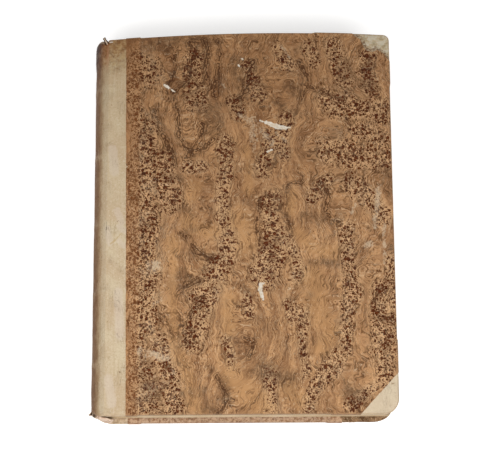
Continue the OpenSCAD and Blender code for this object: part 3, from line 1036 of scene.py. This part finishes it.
def lining_finish():
    f = Finish("spine_lining_cloth", 0.1)
    place = f.place()
    _, y, z = f.parts(place)
    weave = (y * 9.0).sine() * (z * 9.0).sine()
    glue = f.noise(place, 0.12, 4.0, 0.6)
    f.start((176, 156, 122), (140, 116, 84), weave.over(-0.3, 0.8) * 0.5)
    f.lay((110, 78, 46), glue.over(0.5, 0.7) * 0.6)
    return f.done(0.8, f.relief(weave + glue, 0.0002))


def band_finish():
    f = Finish("sewn_band", 0.2)
    along = f.mark("along")
    sheet = f.mark("sheet", "Vector")
    stripe = (along * (2 * math.pi / THREAD_PAIR)).sine().over(-0.08, 0.08)
    fuzz = f.noise(sheet, 2.5, 4.0, 0.7)
    f.start((172, 150, 116), (118, 96, 70), stripe)
    f.lay((110, 88, 62), fuzz.over(0.48, 0.7) * 0.55)
    _, y, z = f.parts(f.place())
    at_tail = y.over(0.0, -100.0)
    # Painted shadow on the upper half of the tailband, under the front cover's cap, and a painted highlight
    # on its lower half.
    f.lay((58, 36, 24), at_tail * z.over(23.0, 27.0) * 0.85)
    f.lay((232, 212, 196), at_tail * z.over(23.0, 20.0) * fuzz.over(0.36, 0.50) * 0.85)
    return f.done(0.78, f.relief(fuzz, 0.0002))


marbled = (marbled_paper_finish("marbled_paper", True), marbled_paper_finish("marbled_paper_back", False))
vellum = vellum_finish()
torn_vellum = torn_vellum_finish()
endpaper = endpaper_finish()
leaf_edges = leaves_finish()
board = board_finish()
frayed = frayed_finish()
cord = cord_finish()
lining = lining_finish()
band = band_finish()


# Marbled paper and vellum corners of both covers

# The paper's edge beside the vellum leans by this much for each millimetre towards the head
PAPER_EDGE_LEAN = 0.0093
# The line along which the paper is torn at the front head corner, from the head edge to the fore-edge
TORN_HEAD_CORNER = [
    (198.0, 166.0), (203.2, 158.2), (205.3, 156.1), (209.0, 153.4), (211.2, 148.6),
    (212.9, 144.3), (216.5, 143.2), (220.0, 142.8), (223.0, 144.4), (225.2, 143.0),
    (227.8, 140.9), (230.0, 138.4), (232.5, 135.4), (237.0, 131.0),
]
# Small notches in the paper's edge beside the vellum: x, y and radius
NOTCHES = [(16.0, 44.7, 0.9), (16.2, 19.5, 0.8), (16.9, -131.0, 0.5)]


def inside_of(x, y, corners):
    """Whether points lie in a closed outline."""
    inside = np.zeros(len(x), bool)
    for (x0, y0), (x1, y1) in zip(corners, corners[1:] + corners[:1]):
        crosses = (y0 > y) != (y1 > y)
        with np.errstate(divide="ignore", invalid="ignore"):
            at = x0 + (y - y0) * (x1 - x0) / (y1 - y0 if y1 != y0 else 1e-9)
        inside ^= crosses & (x < at)
    return inside


def torn_distance(x, y):
    """Distance from the torn line round the front head corner, positive on the marbled paper's side."""
    best = np.full(len(x), 1e9)
    for (x0, y0), (x1, y1) in zip(TORN_HEAD_CORNER, TORN_HEAD_CORNER[1:]):
        best = np.minimum(best, segment_distance(x, y, x0, y0, x1, y1))
    lost = inside_of(x, y, TORN_HEAD_CORNER + [(260.0, 131.0), (260.0, 190.0), (198.0, 190.0)])
    return np.where(lost, -best, best)


def paper_side(x, y, side):
    """Positive where marbled paper covers the board."""
    ragged = 0.16 * ripple(x, y, 2.3, 51 + side) + 0.10 * ripple(x, y, 6.0, 52 + side)
    edge_x = STRIP_W - 0.05 - PAPER_EDGE_LEAN * y * (1 if side == FRONT else 0)
    keep = x - edge_x + ragged
    for nx, ny, r in NOTCHES if side == FRONT else []:
        keep = np.minimum(keep, np.hypot(x - nx, y - ny) - r)
    keep = np.minimum(keep, -legs_distance(x, y, "tail") + ragged)
    if side == FRONT:
        keep = np.minimum(keep, torn_distance(x, y) + 3.0 * ragged)
    else:
        keep = np.minimum(keep, -legs_distance(x, y, "head") + ragged)
    return keep


def worn_corner(points):
    """Positive where the covering of the back tail corner is worn away."""
    x, y, z = points.T
    ragged = 1.7 * ripple(x, y, 4.2, 61) + 0.8 * ripple(x + z, y, 1.7, 62)
    from_edge = np.minimum(y + BOARD_H / 2, BOARD_W - x + 6)
    reach = np.where(z > BOARD_T * 0.8, 3.2, 12.0)
    return np.minimum(np.minimum(x - 190.0, -118.0 - y), reach - from_edge) + ragged


# How far each covering stands off the board


def frayed_off(x, y):
    return 0.16 + 0.10 * ripple(x, y, 1.6, 63) + 0.10 * ripple(x, y, 4.0, 64)


def paper_off(x, y):
    return PAPER_T + VELLUM_T * over_vellum(x, y)


def vellum_off(x, y):
    return np.full(len(x), VELLUM_T)


for side, name in ((FRONT, "front"), (BACK, "back")):
    body = name + "_cover"
    paper = wrapped_cover(side, paper_off, 0.5, TURN_IN)
    paper = marbling(paper, side)
    paper = paper.cut(paper_side(paper.points[:, 0], paper.points[:, 1], side))
    if side == BACK:
        paper = paper.cut(-worn_corner(paper.points))
    paper.points, paper.faces = place_cover(paper.points, side, paper.faces)
    piece = make_piece(name + "_marbled", paper.thicken(PAPER_T * 0.9), marbled[side])
    set_on(piece, body, "marbled_paper", name + "_marbled_paper")

    skin = stains(wrapped_cover(side, vellum_off, 0.7, TURN_IN), side)
    for end in ("head", "tail"):
        corner = skin.cut(legs_distance(skin.points[:, 0], skin.points[:, 1], end, CORNER_LAP))
        if side == BACK and end == "tail":
            corner = corner.cut(-worn_corner(corner.points))
        corner.points, corner.faces = place_cover(corner.points, side, corner.faces)
        piece = make_piece(f"{name}_{end}_vellum_corner", corner.thicken(VELLUM_T * 0.92), vellum)
        set_on(piece, body, "vellum", f"{name}_{end}_corner")


# The worn tail corner of the back cover, where the board's fibres stand up

bared = wrapped_cover(BACK, frayed_off, 0.4, 13.0)
bared = bared.cut(worn_corner(bared.points) + 1.2)
x, y, z = bared.points.T
fluff = 0.22 * ripple(x, y + z * 2.0, 1.1, 65) * ease(1.5, 0.3, np.abs(z - BOARD_T / 2) - 1.0)
bared.points = bared.points + bared.normals() * fluff[:, None]
bared.points, bared.faces = place_cover(bared.points, BACK, bared.faces)
set_on(make_piece("frayed_back_corner", bared.thicken(0.3), frayed), "back_cover", "board")


# Vellum of the spine and joints, one sheet that is split down the middle of the spine


# Depth of the turned-in fold over a board and over the sewn band
FOLD_D_BOARD = BOARD_T + 2 * VELLUM_T
CAP_D = 4.2
TURNED_SHARES = (15.0, 12.0, 9.0, 6.5, 4.5, 3.0, 1.8, 0.9)
# How the turned-in vellum at each end of the spine goes round the sewn band: how far in from the end, depth
CAP_ROUND_BAND = (
    (16.0, 1.0), (12.5, 1.0), (9.5, 1.0), (6.5, 1.0), (4.2, 1.02), (2.3, 1.15), (1.5, 1.6), (1.15, 2.3),
    (1.5, 3.0), (2.3, 3.38), (3.0, 3.42), (3.4, 3.55), (3.5, 3.82), (3.3, 4.1), (2.3, 4.2),
    (1.25, 3.93), (0.55, 3.2), (0.3, 2.3), (0.5, 1.4), (1.2, 0.6), (2.2, 0.15),
)
SPINE_HALF = SPINE_R * JOINT_ANGLE
# The stretch of vellum that bends at a joint, from the leaves' side to the cover's
BEND_FROM = -1.6
BEND_TO = 0.25


def spine_vellum_half(side):
    """Half of the spine's vellum with its strip. q runs round it, from the board (+) to mid-spine (-)."""
    beside_joint = [2.4, 1.8, 1.3, 0.9, 0.6, 0.42, 0.25]
    on_board = np.concatenate([[STRIP_W + LAP], np.arange(24.0, 3.0, -1.5), beside_joint])
    at_joint = np.arange(0.07, BEND_FROM, -0.17)
    round_spine = np.linspace(BEND_FROM - 0.25, -SPINE_HALF, 26)
    q = np.concatenate([on_board, at_joint, round_spine])
    angle = JOINT_ANGLE + np.minimum(q, 0) / SPINE_R
    sign = OUTWARD[side]
    on = q >= 0
    px = np.where(on, q, SPINE_X - SPINE_R * np.cos(angle))
    base_z = BOARD_Z[side] + sign * (BOARD_T + VELLUM_T)
    pz = np.where(on, base_z + sign * bow_at(q, side), MID_Z + sign * SPINE_R * np.sin(angle))
    nx = np.where(on, 0.0, -np.cos(angle))
    nz = np.where(on, 1.0, np.sin(angle)) * sign
    blur = ease(-1.8, 0.6, q)
    nx = -math.cos(JOINT_ANGLE) * (1 - blur) * (q > -1.8) + nx * (q <= -1.8)
    nz = np.where(q > -1.8, sign * (math.sin(JOINT_ANGLE) * (1 - blur) + blur), nz)
    length = np.hypot(nx, nz)
    nx, nz = nx / length, nz / length

    capped = ease(0.1, -1.7, q)
    fold_d = FOLD_D_BOARD + (CAP_D - FOLD_D_BOARD) * capped
    radius = 0.7 + 0.1 * capped
    tight = 0.7 - 0.42 * capped
    # The spine ends a little higher than the covers at the head, and is drawn in at the tail
    head_y = BOARD_H / 2 + VELLUM_T - drop_at(np.maximum(q, 0)) + 2.8 * ease(-2.0, -14.0, q)
    tail_y = np.full(len(q), -BOARD_H / 2 - VELLUM_T)
    drawn_in = ease(-3.0, -19.0, q)
    full = ease(-2.0, -7.0, q) * ease(-19.0, -12.0, q)
    tail_y = tail_y + (3.6 * ease(-4.0, -25.0, q) if side == FRONT else 3.4 * drawn_in - 0.9 * full)

    # The turned-in end: its section over a board, blended into its section round the sewn band
    rows = []
    turn = np.linspace(0, 1, 6) * math.pi / 2
    plain = []
    for share in TURNED_SHARES:
        plain.append((radius + (TURN_IN - 1.5) * share / 15.0, fold_d, -share - fold_d, 0.3))
    for a in turn:
        plain.append((tight * (1 - np.sin(a)), fold_d - tight * (1 - np.cos(a)), -fold_d * 0.8, 0.9))
    plain.append((0 * q, fold_d * 0.5, -fold_d * 0.5, 0.7))
    for a in turn[::-1]:
        plain.append((radius * (1 - np.sin(a)), radius * (1 - np.cos(a)), -radius * 0.4 * np.cos(a), 0.9))
    for (inset, depth, run, mark), (cap_inset, cap_depth) in zip(plain, CAP_ROUND_BAND):
        turned = 1.0 if len(rows) < len(TURNED_SHARES) + len(turn) else 0.0
        inset = inset * (1 - capped) + cap_inset * capped
        depth = depth * (1 - capped) + cap_depth * capped
        rows.append((inset, depth, run, mark, turned))
    end_rows = len(rows)
    near = tuple((d, d * (1 - capped) + (2.5 + d / 2) * capped) for d in (1.5, 3.0, 5.0))

    points, flat, edge, turned_in = [], [], [], []

    def add(y, depth, flat_y, mark, turned=0.0):
        points.append(np.column_stack([px - nx * depth, y, pz - nz * depth]))
        flat.append(np.column_stack([q, flat_y, np.full(len(q), SPINE_HALVES_APART * side)]))
        edge.append(np.full(len(q), mark))
        turned_in.append(np.full(len(q), turned))

    by_joint = ease(-0.4, -2.5, q) * ease(-17.0, -11.0, q) * (1 if side == BACK else 0)
    for inset, depth, run, mark, turned in rows:
        near_end = ease(4.4, 3.6, inset)
        y = tail_y + inset * (1 - 0.55 * drawn_in * near_end)
        add(y, depth * (1 + 1.3 * by_joint * near_end), tail_y + run, mark, turned)
    for d, inset in near:
        add(tail_y + inset, 0 * q, tail_y + inset, math.exp(-d))
    low = tail_y + near[-1][1]
    high = head_y - near[-1][1]
    for share in np.linspace(0, 1, 128)[1:-1]:
        add(low + (high - low) * share, 0 * q, low + (high - low) * share, 0.0)
    for d, inset in reversed(near):
        add(head_y - inset, 0 * q, head_y - inset, math.exp(-d))
    for inset, depth, run, mark, turned in reversed(rows):
        add(head_y - inset, depth, head_y - run, mark, turned)

    count = len(q)
    sheet_rows = len(points)
    points = np.vstack(points)
    flat = np.vstack(flat)
    y = points[:, 1]
    qq = np.tile(q, sheet_rows)
    # The spine swells below the head and over the cords, is pinched at the tail, and ripples between
    on_spine = ease(-2.2, -5.0, qq)
    toward_middle = ease(-SPINE_HALF + 13.0, -SPINE_HALF, qq)
    swell = 0.7 * ease(131, 141, y) * ease_down(150, 160, y) - 1.1 * ease(-150, -158, y)
    swell = swell + 0.16 * ripple(qq, y * 0.4, 7.0, 71 + side) + 0.18 * ripple(qq, y, 15.0, 72)
    if side == FRONT:
        swell = swell - 0.6 * toward_middle * ease(-152.0, -156.0, y)
    else:
        from_end = y - np.tile(tail_y, sheet_rows)
        swell = swell + 1.1 * ease(-150.0, -157.0, y) + 3.0 * toward_middle ** 2 * ease(3.2, 0.0, from_end)
    for cord_y in CORDS_Y:
        swell = swell + 0.22 * np.exp(-(((y - cord_y) / 2.2) ** 2))
    normal_x = np.tile(nx, sheet_rows)
    normal_z = np.tile(nz, sheet_rows)
    points[:, 0] += normal_x * swell * on_spine
    points[:, 2] += normal_z * swell * on_spine
    on_strip = ease(0.8, 3.0, qq)
    row = np.repeat(np.arange(sheet_rows), count)
    seen = (row >= end_rows) & (row < sheet_rows - end_rows)
    points[:, 2] += sign * lift_at(qq, y, side) * on_strip * seen
    points[:, 0] += JOINT_X
    faces = grid_faces(count, sheet_rows)
    if side == FRONT:
        faces = turned_over(faces)
    handled = sum(np.exp(-(((y - cord_y) / 3.0) ** 2)) for cord_y in CORDS_Y) * on_spine
    marks = {"sheet": flat, "handled": handled}
    marks["edge"] = np.concatenate(edge)
    marks["turned"] = np.concatenate(turned_in)
    return stains(Sheet(points, faces, marks), side)


def vellum_thickness(sheet):
    q = sheet.marks["sheet"][:, 0]
    return 0.46 - 0.05 * ease(0.0, -2.0, q)


for side, name, nodes in (
    (FRONT, "front", ("front_vellum_strip",)),
    (BACK, "back", ("back_vellum_strip", "spine_vellum")),
):
    half = spine_vellum_half(side)
    piece = make_piece(name + "_spine_and_strip_vellum", half.thicken(vellum_thickness(half)), vellum)
    z = HINGE_Z[side] * MM
    end = ((JOINT_X + BEND_TO) * MM, 0, z)
    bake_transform(piece)
    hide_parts(*nodes)


# A torn tip of vellum lies over the head of the spine, beside the front joint


def torn_tip():
    """A narrow strip that lies flat for some way and then curls up."""
    length = 8.2
    flat_length = 5.6
    curl_r = 0.6
    root = np.array([-1.7, 151.2, 49.7])
    onward = np.array([-0.45, 0.88, -0.12])
    sideways = np.array([0.80, 0.40, 0.45])
    rows, columns = 25, 7
    points, flat = [], []
    for t in np.linspace(0, 1, rows):
        run = length * t
        turn = max(run - flat_length, 0) / curl_r
        ahead = min(run, flat_length) + curl_r * math.sin(turn)
        rise = curl_r * (1 - math.cos(turn))
        wide = 1.75 * (1 - 0.45 * t) + 0.2 * math.sin(9 * t)
        for u in np.linspace(-1, 1, columns):
            at = root + onward * ahead + sideways * u * wide
            at[2] += rise
            points.append(at + np.array([JOINT_X, 0, 0]))
            flat.append((u * wide, 140 + run, 10.0))
    edge = np.tile([1.0, 0.8, 0.35, 0.0, 0.25, 0.7, 1.0], rows)
    return Sheet(points, grid_faces(columns, rows), {"sheet": flat, "edge": edge})


set_on(make_piece("torn_vellum_tip", torn_tip().thicken(0.35), torn_vellum), "leaves", "vellum")


# Endpapers: each is one folded sheet, pasted down inside the cover and lying free on the leaves


PASTED_AT = 0.95


def endpaper_levels(side):
    """Heights of an endpaper's free leaf and, at the joint, of its pasted half."""
    return LEAVES_Z[1 - side], BOARD_Z[side] - OUTWARD[side] * PASTED_AT


def folded_endpaper(side):
    sign = OUTWARD[side]
    leaf_z, fold_z = endpaper_levels(side)
    share = np.concatenate([[0, 0.004, 0.012, 0.03], np.linspace(0.05, 0.95, 62), [0.97, 0.985, 0.993, 1]])
    inner_tail, _, inner_head = cover_edge(side, -PASTE_MARGIN)
    layer = 90.0 + 30 * side
    points, flat, edge = [], [], []
    rows = len(share)
    leaf_x = np.concatenate([np.linspace(LEAVES_W, 8, 40), [5, 3, 1.8, 1.0, 0.6, 0.35]])

    def edge_mark(x, s, wide):
        near_end = np.minimum(s, 1 - s) * 300
        return np.exp(-np.minimum(near_end, np.abs(wide - x)) / 9.0)

    # The free leaf, the fold beside the joint, and the half that is pasted down
    for x in leaf_x:
        y = LEAVES_Y[0] + (LEAVES_Y[1] - LEAVES_Y[0]) * share
        points.append(np.column_stack([np.full(rows, x), y, np.full(rows, leaf_z)]))
        flat.append(np.column_stack([np.full(rows, -x), y, np.full(rows, layer)]))
        edge.append(edge_mark(x, share, LEAVES_W))
    for step in np.linspace(0, 1, 12):
        y0 = LEAVES_Y[0] + (inner_tail[0, 1] - LEAVES_Y[0]) * step
        y1 = LEAVES_Y[1] + (inner_head[0, 1] - LEAVES_Y[1]) * step
        y = y0 + (y1 - y0) * share
        z = leaf_z + (fold_z - leaf_z) * step
        points.append(np.column_stack([np.full(rows, 0.25), y, np.full(rows, z)]))
        flat.append(np.column_stack([np.full(rows, 0.3 * step), y, np.full(rows, layer)]))
        edge.append(np.full(rows, 0.5))
    for (xt, yt), (xh, yh) in zip(inner_tail, inner_head):
        if xt < 0.4:
            continue
        x = xt + (xh - xt) * share
        y = yt + (yh - yt) * share
        gap = np.minimum(np.minimum(y + BOARD_H / 2, BOARD_H / 2 - drop_at(x) - y), BOARD_W - x)
        raised = ease_down(TURN_IN, TURN_IN + 1.6, gap)
        bump = 0.04 * ripple(x, y, 14, 81 + side)
        z = fold_z + sign * (bow_at(x, side) + (0.72 + bump) * (1 - raised))
        points.append(np.column_stack([x, y, z]))
        flat.append(np.column_stack([x, y, np.full(rows, layer)]))
        edge.append(edge_mark(x, share, BOARD_W - PASTE_MARGIN))
    lines = len(points)
    points = np.vstack(points)
    points[:, 0] += JOINT_X
    faces = grid_faces(rows, lines)
    if side == BACK:
        faces = turned_over(faces)
    return Sheet(points, faces, {"sheet": np.vstack(flat), "edge": np.concatenate(edge)})


for side, name in ((FRONT, "front"), (BACK, "back")):
    folded = folded_endpaper(side)
    piece = make_piece(name + "_endpaper", folded.thicken(FLYLEAF_T * 0.95), endpaper, 60)
    leaf_z, fold_z = endpaper_levels(side)
    clear = OUTWARD[side] * 0.02
    end = (JOINT_X * MM, 0, (fold_z - clear) * MM)
    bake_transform(piece)
    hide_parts(name + "_pastedown", name + "_flyleaf")


# The leaves


def leaf_block():
    """The sewn leaves as one block, with a rounded back, a hollow fore-edge and edges that vary a little."""
    levels = 96
    flat_steps = 34
    spine_steps = 9
    long_steps = 64
    # Single leaves, and whole gatherings of them, stand out or in a little
    draw = np.random.default_rng(5)
    pull = draw.normal(0, 1, levels + 1)
    gather = np.repeat(draw.normal(0, 1, levels // 6 + 2), 6)[:levels + 1]
    fore_pull = 0.10 * pull + 0.16 * gather
    end_pull = 0.08 * draw.normal(0, 1, levels + 1) + 0.14 * np.roll(gather, 3)
    low = LEAVES_Z[0] + FLYLEAF_T
    high = LEAVES_Z[1] - FLYLEAF_T
    half = (high - low) / 2
    reach = BLOCK_SPINE_R * math.sin(math.acos((SPINE_X + 0.35) / BLOCK_SPINE_R))
    hollow_r = (half * half + FORE_HOLLOW ** 2) / (2 * FORE_HOLLOW)
    index = {}
    points = []

    def point(k, m, j):
        """The point at level k, m steps in from the fore-edge and j steps up from the tail."""
        key = (k, m, j)
        if key in index:
            return index[key]
        w = 2 * k / levels - 1
        flat_z = MID_Z + half * w
        spine_z = MID_Z + reach * w
        spine_x = SPINE_X - math.sqrt(BLOCK_SPINE_R ** 2 - (reach * w) ** 2)
        fore_x = LEAVES_W - FORE_HOLLOW + hollow_r - math.sqrt(hollow_r ** 2 - (half * w) ** 2)
        if m <= flat_steps:
            x = fore_x + (0.4 - fore_x) * m / flat_steps
            z = flat_z
        else:
            share = (m - flat_steps) / spine_steps
            x = 0.4 + (spine_x - 0.4) * share
            swing = min(3.0, 0.4 - spine_x)
            t = min((0.4 - x) / swing, 1)
            z = flat_z + (spine_z - flat_z) * t * t * (3 - 2 * t)
        y = LEAVES_Y[0] + (LEAVES_Y[1] - LEAVES_Y[0]) * j / long_steps
        if 0 < k < levels:
            if m == 0:
                x += min(fore_pull[k], 0.3) - 0.15 + 0.12 * float(ripple(y, z * 3, 24, 91))
            if j in (0, long_steps):
                into = 1 if j == 0 else -1
                y += into * max(0.22 - end_pull[k] + 0.12 * float(ripple(x, z * 3, 26, 92)), 0)
        index[key] = len(points)
        points.append((x + JOINT_X, y, z))
        return index[key]

    wide = flat_steps + spine_steps
    faces = []
    for k in range(levels):
        for m in range(wide):
            for j, flip in ((0, False), (long_steps, True)):
                ring = (point(k, m, j), point(k, m + 1, j), point(k + 1, m + 1, j), point(k + 1, m, j))
                faces.append(ring[::-1] if not flip else ring)
        for j in range(long_steps):
            for m, flip in ((0, False), (wide, True)):
                ring = (point(k, m, j), point(k, m, j + 1), point(k + 1, m, j + 1), point(k + 1, m, j))
                faces.append(ring if not flip else ring[::-1])
    for m in range(wide):
        for j in range(long_steps):
            for k, flip in ((0, False), (levels, True)):
                ring = (point(k, m, j), point(k, m + 1, j), point(k, m + 1, j + 1), point(k, m, j + 1))
                faces.append(ring if not flip else ring[::-1])
    return Sheet(points, faces, {})


set_on(make_piece("sewn_leaves", leaf_block(), leaf_edges, 55), "leaves", "leaves", "text_block")


# Head and tail bands: thread wound over a core


def wound_band(y):
    around = 14
    steps = 300
    mid_r = BLOCK_SPINE_R - BAND_D / 2
    reach = JOINT_ANGLE * 0.72
    points, along, flat = [], [], []
    for i in range(steps + 1):
        angle = -reach + 2 * reach * i / steps
        length = mid_r * (angle + reach)
        wind = 0.5 + 0.5 * math.cos(2 * math.pi * length / 0.9)
        taper = min(1.0, i / 8 + 0.35, (steps - i) / 8 + 0.35)
        r = (BAND_D / 2 - 0.46 + 0.16 * wind) * taper
        for a in range(around):
            turn = 2 * math.pi * a / around
            out = mid_r + r * math.cos(turn)
            x = SPINE_X - out * math.cos(angle) + JOINT_X
            points.append((x, y + r * math.sin(turn), MID_Z + out * math.sin(angle)))
            along.append(length + 0.12 * math.sin(turn))
            flat.append((length, turn, 0.0))
    faces = []
    for i in range(steps):
        for a in range(around):
            b = (a + 1) % around
            faces.append((i * around + a, (i + 1) * around + a, (i + 1) * around + b, i * around + b))
    faces.append(tuple(range(around)))
    faces.append(tuple(steps * around + a for a in reversed(range(around))))
    return Sheet(points, faces, {"along": along, "sheet": flat})


for name, node in (("wound_headband", "headband"), ("wound_tailband", "tailband")):
    low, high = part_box(node)
    piece = make_piece(name, wound_band((low.y + high.y) / 2 / MM), band, 70)
    set_on(piece, "leaves", "sewn_band", node)


# CAD pieces that keep their shape get their real finish

for node_name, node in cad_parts.items():
    finish = None
    if node_name.endswith("_board"):
        finish = board
    elif "cord" in node_name:
        finish = cord
    elif node_name == "spine_lining":
        finish = lining
    if finish is not None:
        node.data.materials.clear()
        node.data.materials.append(finish)


# Floor, light and camera

LIT_PLACE = Vector((0.0, -0.03, 0.03))
# The photo's view, from fitting the book's outline: the eye in mm, its turns in degrees and its lens
PHOTO_EYE = (-2.10, -342.84, 1362.87)
PHOTO_TURNS = ((-1.3243, "Z"), (14.2076, "X"), (0.9503, "Z"))
PHOTO_LENS = 120.33


def plain_floor():
    mesh = bpy.data.meshes.new("floor")
    half = 3.0
    corners = [(-half, -half, 0), (half, -half, 0), (half, half, 0), (-half, half, 0)]
    mesh.from_pydata(corners, [], [(0, 1, 2, 3)])
    floor = put_in_scene("floor", mesh)
    f = Finish("white_floor", 0.1)
    f.set("Base Color", srgb(232, 232, 232))
    f.set("Roughness", 0.9)
    glow = f.seen() * 0.6
    f.set("Emission Color", f.join(glow, glow, glow))
    f.set("Emission Strength", 1.0)
    mesh.materials.append(f.material)


def window_light(name, place, colour):
    lamp = bpy.data.lights.new(name, "AREA")
    lamp.shape = "SQUARE"
    lamp.size = 0.8
    lamp.energy = 15.0
    lamp.color = colour
    made = put_in_scene(name, lamp)
    made.location = place
    made.rotation_euler = (LIT_PLACE - Vector(place)).to_track_quat("-Z", "Y").to_euler()


def plain_world():
    world = bpy.data.worlds.new("room")
    bpy.context.scene.world = world
    world.use_nodes = True
    room = Nodes(world.node_tree)
    back = room.tree.nodes["Background"].inputs
    room.plug(back["Color"], (1.0, 1.0, 1.0))
    level = room.node("ShaderNodeMapRange", None, {"Value": room.seen(), "To Min": 0.25, "To Max": 1.0})
    room.plug(back["Strength"], level)


plain_floor()
plain_world()
window_light("left_window", (-0.72, -0.85, 1.40), (1.0, 0.99, 0.97))
window_light("right_window", (0.72, -0.90, 1.40), (1.0, 0.985, 0.96))
bpy.context.scene.view_settings.view_transform = "Standard"

eye = bpy.data.cameras.new("photo_view")
eye.lens = PHOTO_LENS
eye.sensor_width = 36
eye.clip_start = 0.05
camera = put_in_scene("photo_view", eye)
turn_about = Matrix.Identity(4)
for degrees, axis in PHOTO_TURNS:
    turn_about = turn_about @ Matrix.Rotation(math.radians(degrees), 4, axis)
camera.matrix_world = Matrix.Translation(Vector(PHOTO_EYE) * MM) @ turn_about
bpy.context.scene.camera = camera
